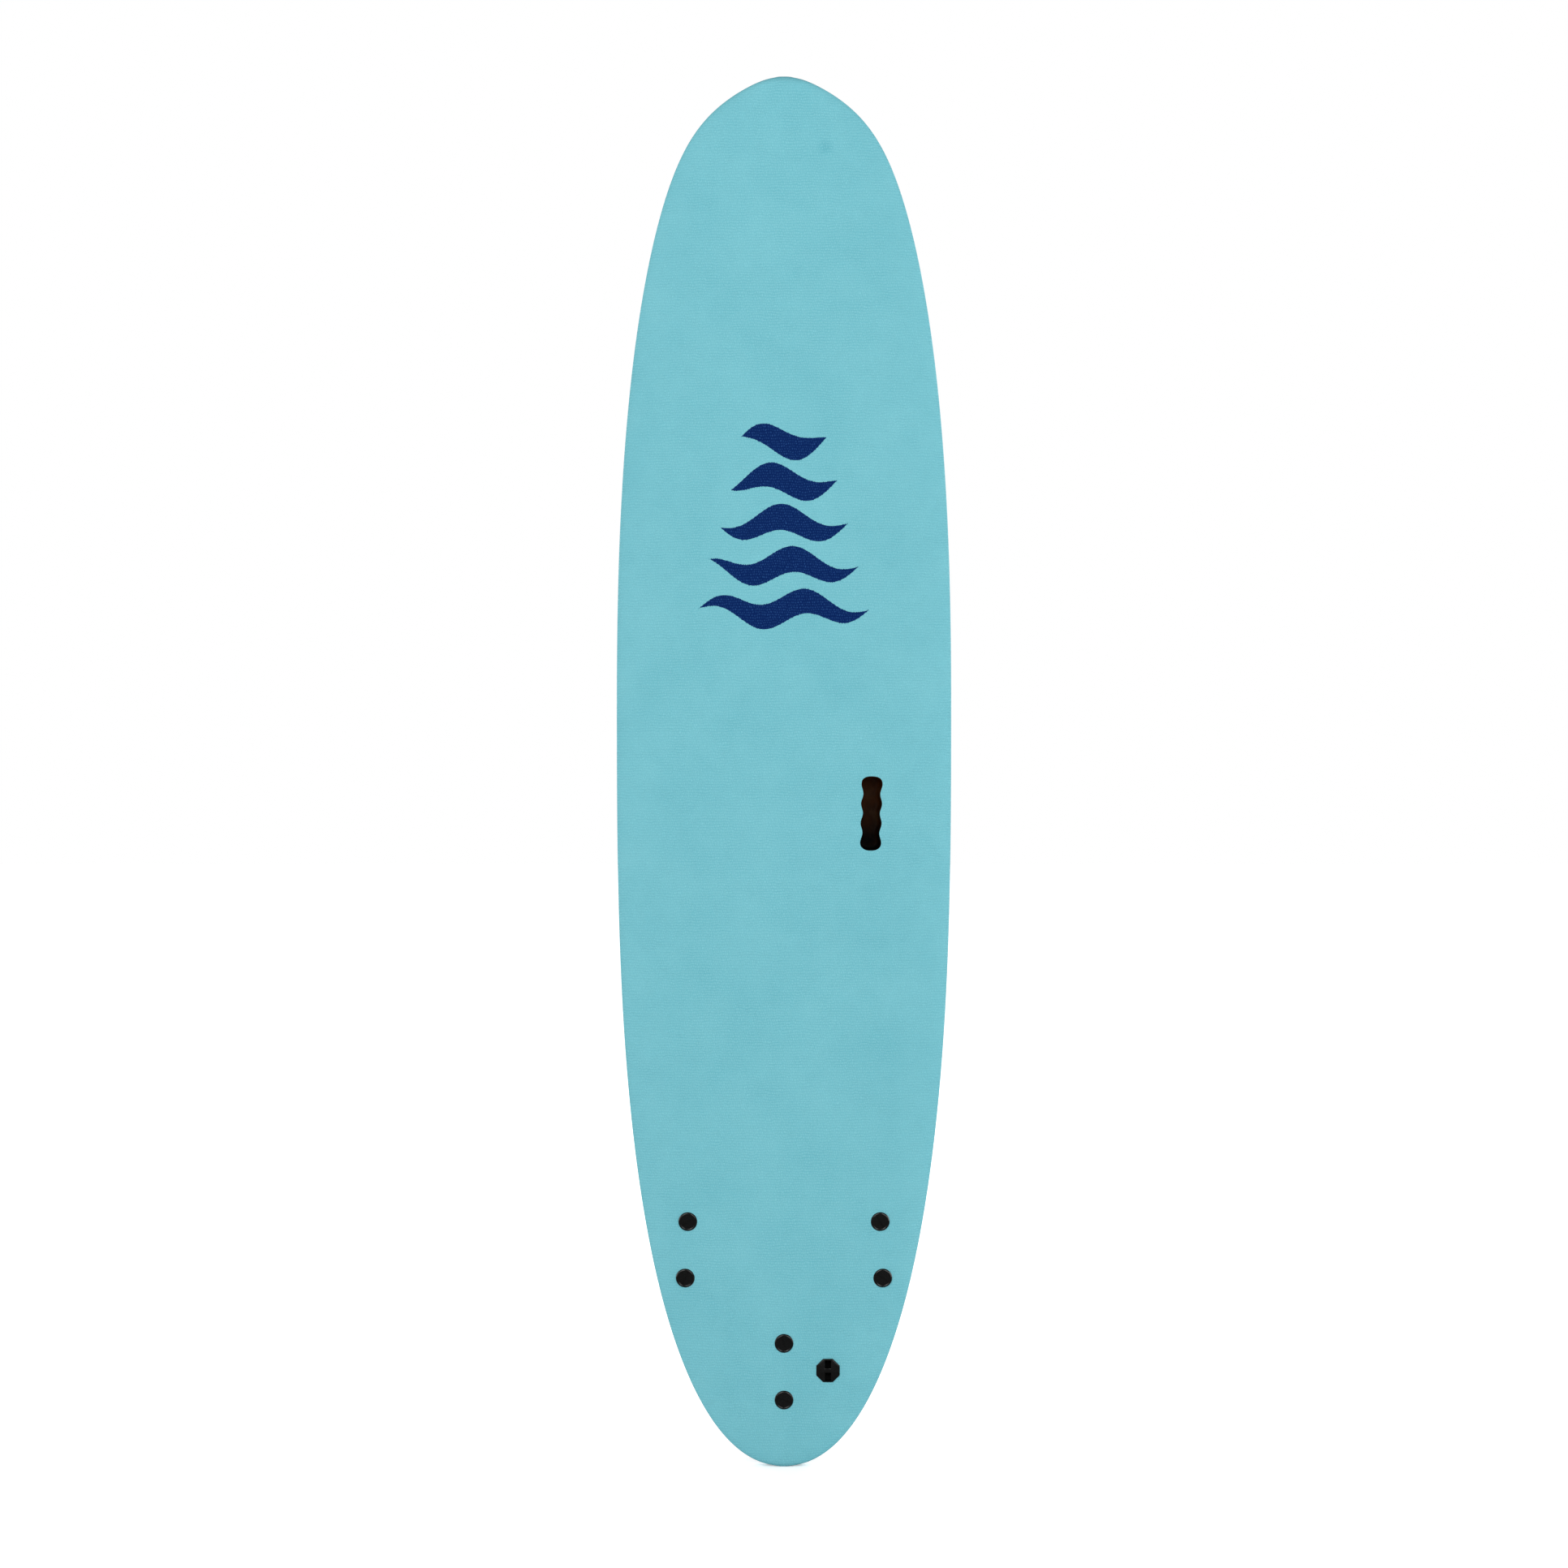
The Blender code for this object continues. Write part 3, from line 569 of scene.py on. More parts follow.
def makeCupMaterial(h):
    # dark brown with painted shade: darker towards the floor and the lower end, lighter towards the nose end
    # where the light falls in
    material, tree, shader = newMaterial("cupBrown", Specular_IOR_Level=0.05)
    place = objectPlace(tree)
    x, y, z = splitXyz(place)
    grain = useGroup(tree, mouldedGrain, Vector=place, Grain_Scale=900.0, Drift_Scale=45.0)
    # painted light and shade: the share of lighter brown grows towards the nose end of the cup, with a random
    # drift
    litShare = between((z - h["z"]) / h["length"] * 1.2 + 0.45 + (field(grain, "Drift") - 0.5) * 1.2)
    brown = mixColour(tree, litShare, colour(5, 4, 2), colour(60, 30, 9))
    # olive-grey patches at random, kept to the painted lit part
    olive = between(noiseField(tree, place, 28.0, 2.0) * 4.0 - 2.1) * litShare
    plug(mixColour(tree, olive * 0.6, brown, colour(66, 58, 40)), shader.inputs["Base Color"])
    plug(0.45 + 0.2 * field(grain, "Drift"), shader.inputs["Roughness"])
    addRelief(tree, shader, field(grain, "Grain"), 0.05 * mm)
    return material


def makeSteel():
    material, tree, shader = newMaterial("screwSteel", Metallic=1.0)
    place = objectPlace(tree)
    grain = useGroup(tree, mouldedGrain, Vector=place, Grain_Scale=2500.0, Drift_Scale=300.0)
    steel = mixColour(tree, field(grain, "Drift"), colour(196, 182, 164), colour(226, 216, 202))
    plug(steel, shader.inputs["Base Color"])
    plug(0.16 + 0.2 * field(grain, "Drift"), shader.inputs["Roughness"])
    addRelief(tree, shader, field(grain, "Grain"), 0.01 * mm)
    return material


def makeCoreFoam():
    material, tree, shader = newMaterial("coreBeads", Roughness=0.9)
    place = objectPlace(tree)
    beads = addNode(tree, "ShaderNodeTexVoronoi", {"Vector": place, "Scale": 260.0})
    distance = field(beads, "Distance")
    foam = mixColour(tree, between(distance * 1.4), colour(243, 243, 240), colour(214, 216, 214))
    plug(foam, shader.inputs["Base Color"])
    plug(0.8 + 0.15 * distance, shader.inputs["Roughness"])
    addRelief(tree, shader, 1 - distance, 0.4 * mm)
    return material


def makePlywood():
    material, tree, shader = newMaterial("stringerPly")
    place = objectPlace(tree)
    x, y, z = splitXyz(place)
    fibre = noiseField(tree, joinXyz(tree, x * 900.0, y * 260.0, z * 7.0), 1.0, 4.0)
    ply = (x / (1.5 * mm)).math("FRACT").math("GREATER_THAN", 0.5)
    wood = mixColour(tree, between(fibre * 1.5 - 0.25), colour(190, 150, 102), colour(150, 108, 66))
    plug(mixColour(tree, ply * 0.35, wood, colour(128, 90, 54)), shader.inputs["Base Color"])
    plug(0.6 + 0.2 * fibre, shader.inputs["Roughness"])
    addRelief(tree, shader, fibre, 0.1 * mm)
    return material


deckFoam = makeDeckMaterial(deckFinish)
slickSheet = makeSlickMaterial(slickFinish)
finGloss = makePlastic("finGloss", colour(5, 5, 5), colour(10, 9, 9), 0.10, 0.08, 260.0, 0.004 * mm)
coverBlack = makePlastic("coverBlack", colour(1, 1, 2), colour(4, 4, 4), 0.20, 0.12, 1600.0, 0.02 * mm, 0.12)
boltBlack = makePlastic("boltBlack", colour(8, 8, 8), colour(13, 13, 13), 0.16, 0.12, 1200.0, 0.012 * mm)
plugBlack = makePlastic("plugBlack", colour(7, 7, 7), colour(12, 12, 12), 0.18, 0.14, 1200.0, 0.012 * mm)
# a darker, rougher copy of the plug's black: painted shade inside its openings
plugPocketShade = makePlastic("plugPocketShade", colour(2, 2, 2), colour(4, 4, 4), 0.55, 0.2, 1200.0, 0.02 * mm, 0.08)
cupBrown = makeCupMaterial(handleShape)
sealRubber = makePlastic("sealRubber", colour(14, 14, 14), colour(28, 28, 27), 0.7, 0.15, 1500.0, 0.04 * mm)
screwSteel = makeSteel()
coreBeads = makeCoreFoam()
stringerPly = makePlywood()
print("finishes made:", len(bpy.data.materials))


# places of the fin units, bolts, leash plug and handle, as the frame has them
finUnits = {
    "left": {"side": -1, "x": -0.29 * boardShape["Width"], "z": 382.0 * mm},
    "right": {"side": 1, "x": 0.29 * boardShape["Width"], "z": 382.0 * mm},
    "centre": {"side": 0, "x": 0.0, "z": 168.0 * mm},
}
toeIn = math.radians(2.6)
cant = math.radians(6.0)
coverLength = 156.0 * mm
boltSpacing = 0.64 * coverLength
boltSeat = 4.1 * mm
leashSpot = {"x": 77.5 * mm, "z": 170.0 * mm}


def unitPlace(unit):
    step = 5 * mm
    tilt = math.atan((bottomAt(unit["z"] + step) - bottomAt(unit["z"] - step)) / (2 * step))
    turn = Matrix.Rotation(-tilt, 4, "X") @ Matrix.Rotation(-unit["side"] * toeIn, 4, "Y")
    return Matrix.Translation((unit["x"], bottomAt(unit["z"]), unit["z"])) @ turn


def boltSpot(unit, end):
    reach = boltSpacing / 2 * (1 if end == "front" else -1)
    toe = -unit["side"] * toeIn
    return unit["x"] + reach * math.sin(toe), unit["z"] + reach * math.cos(toe)


def facingDeck(x, y, z):
    return Matrix.Translation((x, y, z)) @ Matrix.Rotation(math.pi, 4, "Z")


def handlePlace(h):
    step = 10 * mm
    slope = math.atan((deckAt(h["x"] + step, h["z"]) - deckAt(h["x"] - step, h["z"])) / (2 * step))
    turn = Matrix.Rotation(slope, 4, "Z") @ Matrix.Rotation(h["tilt"], 4, "Y")
    return Matrix.Translation((h["x"], deckAt(h["x"], h["z"]), h["z"])) @ turn


def scallopRing(h, grow, level):
    reach, lobe = h["length"] / 2, 1.5 * h["pitch"]
    side = []
    for i in range(61):
        z = lobe * (i / 30 - 1)
        side.append((h["half"] - h["scallop"] * math.cos(2 * math.pi * z / h["pitch"]) + grow, z))
    wide = h["half"] + h["scallop"] + grow
    caps = {}
    for end, bow in h["ends"].items():
        caps[end] = []
        for share in (0.2, 0.4, 0.55, 0.68, 0.78, 0.86, 0.92, 0.96, 0.985, 0.9985):
            caps[end].append((wide * (1 - share ** bow) ** (1 / bow), lobe + share * (reach + grow - lobe)))
    right = [(x, -z) for x, z in reversed(caps["tail"])] + side + caps["nose"]
    ring = right + [(-x, z) for x, z in reversed(right)]
    return [Vector((x, level, z)) for x, z in ring]


# deck skin: a shell swept over the board's formulas, wrapping deck and rails down to the bottom sheet
shellGrid = {
    "Rows": 440, "Deck Columns": 120, "Lining Columns": 24, "Cap Rows": 3,
    "Skin": layers["skin"], "Tip Crowding": 0.75, "Crown Columns": 0.86,
}


def makeShellTree():
    tree, s = newTree("boardShell", {**boardShape, **shellGrid})
    around = s["Deck Columns"] + s["Lining Columns"] + 2
    mesh, column, row = gridShares(tree, around, s["Rows"])
    column = column.math("MODULO", around)
    lining = column.math("GREATER_THAN", s["Deck Columns"] + 0.5)
    outside = 2 * column / s["Deck Columns"] - 1
    inside = 1 - 2 * (column - s["Deck Columns"] - 1) / s["Lining Columns"]
    across = outside + lining * (inside - outside)
    side = across.math("SIGN")
    inset = lining * s["Skin"]
    cap, z = stations(s, row, inset)
    reach = across.math("ABSOLUTE")
    crown = (least(reach / s["Crown Columns"], 1.0) * (math.pi / 2)).math("SINE")
    wall = most(reach - s["Crown Columns"], 0.0) / (1 - s["Crown Columns"])
    width, bottom, apex = halfWidth(s, z, inset), bottomLine(s, z), apexLine(s, z)
    top = deckLine(s, z) + inset
    x = crown * width - wall * tuckAt(s, z)
    y = top + (apex - top) * deckDrop(s, crown) + wall * (bottom - apex)
    flow = joinXyz(tree, side * (crown * width + y - top), z, 0.0)
    kept = addNode(tree, "GeometryNodeStoreNamedAttribute", {"Geometry": mesh, "Name": "flow", "Value": flow},
                   data_type="FLOAT2", domain="CORNER")
    place = joinXyz(tree, side * x * cap, bottom + cap * (y - bottom), z)
    endTree(tree, placeGrid(tree, kept.outputs[0], place), s["Material"])
    return tree


deckSkin = runTree("deckSkin", makeShellTree(), {}, deckFoam)
boltWell = {"dia": 33.3 * mm, "shaft": 15.6 * mm, "deep": 9.0 * mm, "clear": 20.0 * mm}
wells = []
for unit in finUnits.values():
    for end in ("front", "rear"):
        x, z = boltSpot(unit, end)
        w = boltWell
        rings = [circle(w["dia"] / 2, -w["clear"], 96), circle(w["dia"] / 2, boltSeat, 96),
                 circle(w["shaft"] / 2, boltSeat, 96), circle(w["shaft"] / 2, w["deep"], 96)]
        wells.append(moved(rings, Matrix.Translation((x, deckAt(x, z), z))))
plugWell = [octagon(41.6 * mm, -20.0 * mm), octagon(41.6 * mm, 13.3 * mm)]
wells.append(moved(plugWell, Matrix.Translation((leashSpot["x"], deckAt(**leashSpot), leashSpot["z"]))))
lipEdge, wallEdge = handleShape["lip"] + 0.15 * mm, handleShape["wall"] + layers["fit"]
pocket = [scallopRing(handleShape, lipEdge, -20.0 * mm), scallopRing(handleShape, lipEdge, 5.6 * mm),
          scallopRing(handleShape, wallEdge, 7.0 * mm), scallopRing(handleShape, wallEdge, 44.3 * mm)]
wells.append(moved(pocket, handlePlace(handleShape)))
cutAway(deckSkin, meshPiece("deckWells", None, *wells))
settle(deckSkin, "board", ["deck_skin"])


# bottom sheet: a thin closed sheet that follows the rocker inside the skin's border
slickGrid = {
    "Rows": 300, "Face Columns": 24, "Cap Rows": 2, "Tip Crowding": 0.75,
    "Border": layers["skin"] + layers["fit"], "Sheet": layers["slick"],
}


def makeSlickTree():
    tree, s = newTree("slickSheet", {**boardShape, **slickGrid})
    around = 2 * s["Face Columns"] + 2
    mesh, column, row = gridShares(tree, around, s["Rows"])
    column = column.math("MODULO", around)
    back = column.math("GREATER_THAN", s["Face Columns"] + 0.5)
    outside = 1 - 2 * column / s["Face Columns"]
    inside = 2 * (column - s["Face Columns"] - 1) / s["Face Columns"] - 1
    across = outside + back * (inside - outside)
    cap, z = stations(s, row, s["Border"])
    half = halfWidth(s, z, s["Border"]) - tuckAt(s, z)
    place = joinXyz(tree, across * half * cap, bottomLine(s, z) - s["Sheet"] * (0.5 + cap * (back - 0.5)), z)
    endTree(tree, placeGrid(tree, mesh, place), s["Material"])
    return tree


bottomSlick = runTree("bottomSlick", makeSlickTree(), {}, slickSheet)
cuts = []
for unit in finUnits.values():
    rings = [stadium(150.6 * mm, 33.6 * mm, level) for level in (-20.0 * mm, 20.0 * mm)]
    cuts.append(moved(rings, unitPlace(unit)))
leashHole = [circle(20.15 * mm, level, 96) for level in (-20.0 * mm, 20.0 * mm)]
cuts.append(moved(leashHole, Matrix.Translation((leashSpot["x"], bottomAt(leashSpot["z"]), leashSpot["z"]))))
cutAway(bottomSlick, meshPiece("slickCuts", None, *cuts))
settle(bottomSlick, "board", ["bottom_slick"])


# turned pieces: a rounded profile swept round the Y axis, with an optional thread
def makeLatheTree(name, sizes, profile, slot=None, thread=None):
    tree, s = newTree(name, sizes)
    corners = profile(s)
    index = field(addNode(tree, "GeometryNodeInputIndex"))

    def cornerValue(axis):
        node = addNode(tree, "GeometryNodeIndexSwitch", data_type="FLOAT")
        while len(node.index_switch_items) < len(corners):
            node.index_switch_items.new()
        plug(index, node.inputs["Index"])
        for k, corner in enumerate(corners):
            plug(corner[axis], node.inputs[k + 1])
        return field(node)

    line = addNode(tree, "GeometryNodeMeshLine", {"Count": len(corners)})
    bent = addNode(tree, "GeometryNodeSetPosition", {
        "Geometry": line.outputs[0], "Position": joinXyz(tree, cornerValue(0), cornerValue(1), 0.0)})
    curve = addNode(tree, "GeometryNodeMeshToCurve", {"Mesh": bent.outputs[0]})
    eased = addNode(tree, "GeometryNodeFilletCurve", {
        "Curve": curve.outputs[0], "Radius": s["Edge Round"], "Limit Radius": True, "Count": 3}, mode="POLY")
    mesh, column, row = gridShares(tree, s["Columns"], s["Rows"])
    spot = addNode(tree, "GeometryNodeSampleCurve", {
        "Curves": eased.outputs[0], "Factor": row / s["Rows"]}, mode="FACTOR")
    radius, level = splitXyz(field(spot, "Position"))[:2]
    turn = column / s["Columns"] * (2 * math.pi)
    if thread:
        radius = radius - thread(s, level, column / s["Columns"])
    place = joinXyz(tree, radius * turn.math("COSINE"), level, radius * turn.math("SINE"))
    body = placeGrid(tree, mesh, place)
    for solid, centre, turn in (slot(tree, s) if slot else ()):
        tool = addNode(tree, "GeometryNodeTransform", {
            "Geometry": solid.outputs["Mesh"], "Translation": centre, "Rotation": turn})
        cut = addNode(tree, "GeometryNodeMeshBoolean", operation="DIFFERENCE", solver="EXACT")
        tree.links.new(body, cut.inputs["Mesh 1"])
        tree.links.new(tool.outputs[0], cut.inputs["Mesh 2"])
        body = cut.outputs["Mesh"]
    return tree, s, body


boltSizes = {
    "Head Diameter": 33.0 * mm, "Head Thickness": 4.5 * mm,
    "Shank Diameter": 8.0 * mm, "Shank Length": 20.0 * mm,
    "Dish": 0.5 * mm, "Rim": 2.6 * mm, "Bevel": 2.0 * mm, "Edge Round": 0.6 * mm,
    "Slot Length": 25.0 * mm, "Slot Width": 2.6 * mm, "Slot Depth": 1.5 * mm,
    "Thread Pitch": 2.0 * mm, "Thread Depth": 0.55 * mm, "Columns": 72, "Rows": 230,
}


boltEase = 0.9 * mm  # chamfer at the shank's end and round the dish


def boltProfile(s):
    head, thick, shank = s["Head Diameter"] / 2, s["Head Thickness"], s["Shank Diameter"] / 2
    rim = head - s["Rim"]
    return [(0.0, -s["Shank Length"]), (shank - boltEase, -s["Shank Length"]),
            (shank, boltEase - s["Shank Length"]), (shank, 0.0), (head, 0.0), (head, thick - s["Bevel"]),
            (head - 0.6 * s["Rim"], thick - 0.2 * s["Bevel"]), (rim, thick),
            (rim - boltEase, thick - s["Dish"]), (0.0, thick - s["Dish"])]


def boltThread(s, level, share):
    wave = ((level / s["Thread Pitch"] + share) * (2 * math.pi)).math("COSINE") * 0.5 + 0.5
    lead = between((-1.5 * mm - level) / s["Thread Pitch"])
    return wave * lead * s["Thread Depth"] * between((level + s["Shank Length"]) / s["Thread Pitch"])


def coinSlot(tree, s):
    size = joinXyz(tree, s["Slot Width"], 2 * s["Slot Depth"], s["Slot Length"])
    bar = addNode(tree, "GeometryNodeMeshCube", {"Size": size})
    return [(bar, joinXyz(tree, 0.0, s["Head Thickness"] - s["Dish"], 0.0), (0.0, 0.0, 0.0))]


boltTree, boltInputs, boltBody = makeLatheTree("coinBolt", boltSizes, boltProfile, coinSlot, boltThread)
endTree(boltTree, boltBody, boltInputs["Material"])

washerSizes = {
    "Diameter": 30.0 * mm, "Bore": 8.6 * mm, "Thickness": 1.2 * mm, "Edge Round": 0.4 * mm,
    "Columns": 64, "Rows": 60,
}


def washerProfile(s):
    outer, bore, thick = s["Diameter"] / 2, s["Bore"] / 2, s["Thickness"]
    middle = (outer + bore) / 2
    return [(middle, 0.0), (outer, 0.0), (outer, thick), (bore, thick), (bore, 0.0), (middle, 0.0)]


washerTree, washerInputs, washerBody = makeLatheTree("sealWasher", washerSizes, washerProfile)
endTree(washerTree, washerBody, washerInputs["Material"])

slotTurns = {
    "left_front": -55, "left_rear": -25, "right_front": 30, "right_rear": 55,
    "centre_front": 20, "centre_rear": 70,
}
boltProud = 2.2 * mm
for tag, unit in finUnits.items():
    for end in ("front", "rear"):
        spot = tag + "_" + end
        x, z = boltSpot(unit, end)
        seat = deckAt(x, z) + boltSizes["Head Thickness"] - boltProud
        turn = Matrix.Rotation(math.radians(slotTurns[spot]), 4, "Y")
        bolt = runTree("finBolt_" + spot, boltTree, {}, boltBlack)
        bolt.data.transform(facingDeck(x, seat, z) @ turn)
        settle(bolt, "bolt_" + spot, ["fin_bolt_" + spot])
        washer = runTree("finWasher_" + spot, washerTree, {}, sealRubber)
        washer.data.transform(facingDeck(x, seat + layers["fit"] + washerSizes["Thickness"], z))
        settle(washer, "washer_" + spot, ["fin_washer_" + spot])

leashSizes = {
    "Head Diameter": 40.0 * mm, "Head Thickness": 3.8 * mm,
    "Shank Diameter": 10.0 * mm, "Shank Length": 12.0 * mm,
    "Dish": 0.0, "Rim": 4.2 * mm, "Bevel": 2.6 * mm, "Edge Round": 1.8 * mm, "Slot Length": 13.0 * mm,
}
leashSeat = bottomAt(leashSpot["z"]) - 1.4 * mm
leashBolt = runTree("leashBolt", boltTree, leashSizes, boltBlack)
leashTurn = Matrix.Rotation(math.radians(25), 4, "Y")
leashBolt.data.transform(Matrix.Translation((leashSpot["x"], leashSeat, leashSpot["z"])) @ leashTurn)
settle(leashBolt, "bolt_leash", ["leash_bolt"])
leashWasher = runTree("leashWasher", washerTree, {"Diameter": 36.0 * mm, "Bore": 10.6 * mm}, sealRubber)
washerLevel = leashSeat - layers["fit"] - washerSizes["Thickness"]
leashWasher.data.transform(Matrix.Translation((leashSpot["x"], washerLevel, leashSpot["z"])))
settle(leashWasher, "washer_leash", ["leash_washer"])


# fins: a foil swept from root to tip, leaning out on the sides, with a foot that the cover traps
finSizes = {
    "Root": 96.0 * mm, "Depth": 100.0 * mm, "Thickness": 6.6 * mm, "Lead": 36.0 * mm, "Sweep": 116.0 * mm,
    "Tip Middle": 115.0 * mm, "Tip Reach": 26.0 * mm, "Tip Half": 15.0 * mm, "Sunk": 1.5 * mm, "Lean": 0.0,
    "Foot Width": 27.0 * mm, "Foot Thickness": 3.0 * mm, "Foot Front": 22.0 * mm, "Foot Rear": 3.0 * mm,
    "Tip Thinning": 0.2, "Tip Edge": 18.0, "Fullness": 0.75, "Fore Bulge": 0.15,
    "Rows": 84, "Columns": 56,
}


def makeFinTree():
    tree, s = newTree("finBlade", finSizes)
    mesh, column, row = gridShares(tree, s["Columns"], s["Rows"])
    share = 1 - (1 - most(row - 2, 0.0) / (s["Rows"] - 2)) ** 1.5
    level = share * s["Depth"] - s["Sunk"] * row.math("LESS_THAN", 1.5)
    leading = s["Sweep"] * (1 - most(1 - share ** 1.15, 0.0) ** (1 / 1.8))
    hollow = s["Root"] - 25 * mm * share + 125 * mm * share ** 2.82
    rise = most((share * s["Depth"] - s["Depth"] + s["Tip Half"]) / s["Tip Half"], -0.7)
    tip = s["Tip Middle"] + s["Tip Reach"] * most(1 - rise * rise, 0.0) ** 0.5
    chord = most(least(hollow, tip) - leading, 0.0) * least(row, 1.0)
    turn = column / s["Columns"] * (2 * math.pi)
    along = leading + chord * (1 - turn.math("COSINE")) / 2
    along = along + (1 - least(row, 1.0)) * s["Root"] / 2
    thin = (1 - s["Tip Thinning"] * share) * between((1 - share) * s["Tip Edge"]) ** 0.5 * least(row, 1.0)
    swell = turn.math("SINE")
    full = swell.math("SIGN") * swell.math("ABSOLUTE") ** s["Fullness"]  # below 1 is fuller than an ellipse
    bulge = s["Thickness"] / 2 * thin * full * (1 + s["Fore Bulge"] * turn.math("COSINE"))
    place = joinXyz(tree, bulge + s["Lean"] * level, level, s["Lead"] - along)
    blade = placeGrid(tree, mesh, place)
    footLength = s["Root"] + s["Foot Front"] + s["Foot Rear"]
    cube = addNode(tree, "GeometryNodeMeshCube", {
        "Size": joinXyz(tree, s["Foot Width"], s["Foot Thickness"], footLength)})
    centre = s["Lead"] + s["Foot Front"] - footLength / 2
    foot = addNode(tree, "GeometryNodeTransform", {
        "Geometry": cube.outputs[0], "Translation": joinXyz(tree, 0.0, s["Foot Thickness"] * -0.5, centre)})
    joined = addNode(tree, "GeometryNodeMeshBoolean", operation="UNION", solver="EXACT")
    tree.links.new(foot.outputs[0], joined.inputs["Mesh 2"])
    tree.links.new(blade, joined.inputs["Mesh 2"])
    endTree(tree, joined.outputs["Mesh"], s["Material"])
    return tree


# cover plates: rounded rim, and a ramp up to the full height from each end
coverShape = {
    "width": 39.0 * mm, "low": 0.3 * mm, "edge": 1.6 * mm, "top": 3.8 * mm, "round": 1.8 * mm,
    "ramp": 26.0 * mm,
    "slotFront": 55.0 * mm, "slotRear": -60.5 * mm, "slotWidth": 7.6 * mm,
    "offsets": (0.0, 0.15, 0.4, 0.8, 1.3, 1.8, 3.0, 6.0, 10.0, 15.0, 19.5),
}
screwSpan = 0.365 * coverLength
screwGauge = 19.4 * mm


def coverHeight(c, offset, z):
    rim = min(offset / c["round"], 1.0)
    run = min(max((coverLength / 2 - abs(z)) / c["ramp"], 0.0), 1.0)
    ramp = c["edge"] + (c["top"] - c["edge"]) * run * run * (3 - 2 * run)
    return c["edge"] * 0.6 + (max(ramp, c["edge"]) - c["edge"] * 0.6) * (1 - (1 - rim) ** 2) ** 0.5


def coverRings(c):
    rings = [stadium(coverLength, c["width"], c["low"], arc=28, straight=36)]
    for offset in c["offsets"]:
        ring = stadium(coverLength - 2 * offset * mm, c["width"] - 2 * offset * mm, 0.0, arc=28, straight=36)
        rings.append([Vector((p.x, coverHeight(c, offset * mm, p.z), p.z)) for p in ring])
    return rings


def screwSpots(side):
    # both on the inner side of a side fin, one on each side of the centre fin
    return [((-side or end) * screwGauge / 2, end * screwSpan / 2) for end in (1, -1)]


def coverCuts(c, side):
    middle, length = (c["slotFront"] + c["slotRear"]) / 2, c["slotFront"] - c["slotRear"]
    cuts = [[stadium(length, c["slotWidth"], level, middle) for level in (-5.0 * mm, 15.0 * mm)]]
    for x, z in screwSpots(side):
        hole = [circle(1.8 * mm, -5.0 * mm, 32), circle(1.8 * mm, 2.5 * mm, 32),
                circle(3.4 * mm, 2.5 * mm, 32), circle(3.4 * mm, 15.0 * mm, 32)]
        cuts.append(moved(hole, Matrix.Translation((x, 0.0, z))))
    return cuts


# fin screws: two domed cross-head screws beside each fin
screwSizes = {
    "Head Diameter": 6.2 * mm, "Dome": 1.8 * mm, "Seat": 2.8 * mm,
    "Shank Diameter": 3.0 * mm, "Tip": -6.4 * mm,
    "Edge Round": 0.35 * mm, "Cross Length": 3.6 * mm, "Cross Width": 0.8 * mm, "Cross Depth": 0.8 * mm,
    "Gauge": screwGauge, "Span": screwSpan, "Side": 0.0, "Columns": 32, "Rows": 56, "Seed": 7,
}


def screwProfile(s):
    head, shank, seat, dome = s["Head Diameter"] / 2, s["Shank Diameter"] / 2, s["Seat"], s["Dome"]
    return [(0.0, s["Tip"]), (shank * 0.6, s["Tip"]), (shank, s["Tip"] + 1.2 * mm),
            (shank, seat), (head, seat), (head, seat + 0.3 * dome), (head * 0.86, seat + 0.66 * dome),
            (head * 0.55, seat + 0.92 * dome), (0.0, seat + dome)]


def crossRecess(tree, s):
    centre = joinXyz(tree, 0.0, s["Seat"] + s["Dome"], 0.0)
    size = joinXyz(tree, s["Cross Width"], 2 * s["Cross Depth"], s["Cross Length"])
    bar = addNode(tree, "GeometryNodeMeshCube", {"Size": size})
    return [(bar, centre, (0.0, 0.0, 0.0)), (bar, centre, (0.0, math.pi / 2, 0.0))]


def makeScrewTree():
    tree, s, screw = makeLatheTree("finScrews", screwSizes, screwProfile, crossRecess)
    pair = addNode(tree, "GeometryNodeMeshLine", {"Count": 2})
    end = 1 - 2 * field(addNode(tree, "GeometryNodeInputIndex"))
    across = (1 - s["Side"].math("ABSOLUTE")) * end - s["Side"]
    place = joinXyz(tree, across * s["Gauge"] / 2, 0.0, end * s["Span"] / 2)
    spots = addNode(tree, "GeometryNodeSetPosition", {"Geometry": pair.outputs[0], "Position": place})
    spin = addNode(tree, "FunctionNodeRandomValue", {"Seed": s["Seed"]}, data_type="FLOAT")
    euler = joinXyz(tree, 0.0, field(spin, 1) * math.pi, 0.0)
    turned = addNode(tree, "FunctionNodeEulerToRotation", {"Euler": euler})
    placed = addNode(tree, "GeometryNodeInstanceOnPoints", {
        "Points": spots.outputs[0], "Instance": screw, "Rotation": turned.outputs[0]})
    endTree(tree, placed.outputs[0], s["Material"])
    return tree


finTree = makeFinTree()
screwTree = makeScrewTree()
for number, (tag, unit) in enumerate(finUnits.items()):
    place = unitPlace(unit)
    fin = runTree("fin_" + tag + "_blade", finTree, {"Lean": unit["side"] * math.tan(cant)}, finGloss)
    fin.data.transform(place)
    settle(fin, "board", ["fin_" + tag])
    cover = meshPiece("finCover_" + tag, coverBlack, coverRings(coverShape))
    cutAway(cover, meshPiece("coverCuts", None, *coverCuts(coverShape, unit["side"])))
    cover.data.transform(place)
    settle(cover, "board", ["fin_cover_" + tag])
    pair = {"Seed": screwSizes["Seed"] + number, "Side": float(unit["side"])}
    screws = runTree("finScrews_" + tag, screwTree, pair, screwSteel)
    screws.data.transform(place)
    settle(screws, "board", ["fin_screw_%s_%d" % (tag, k) for k in (1, 2)])


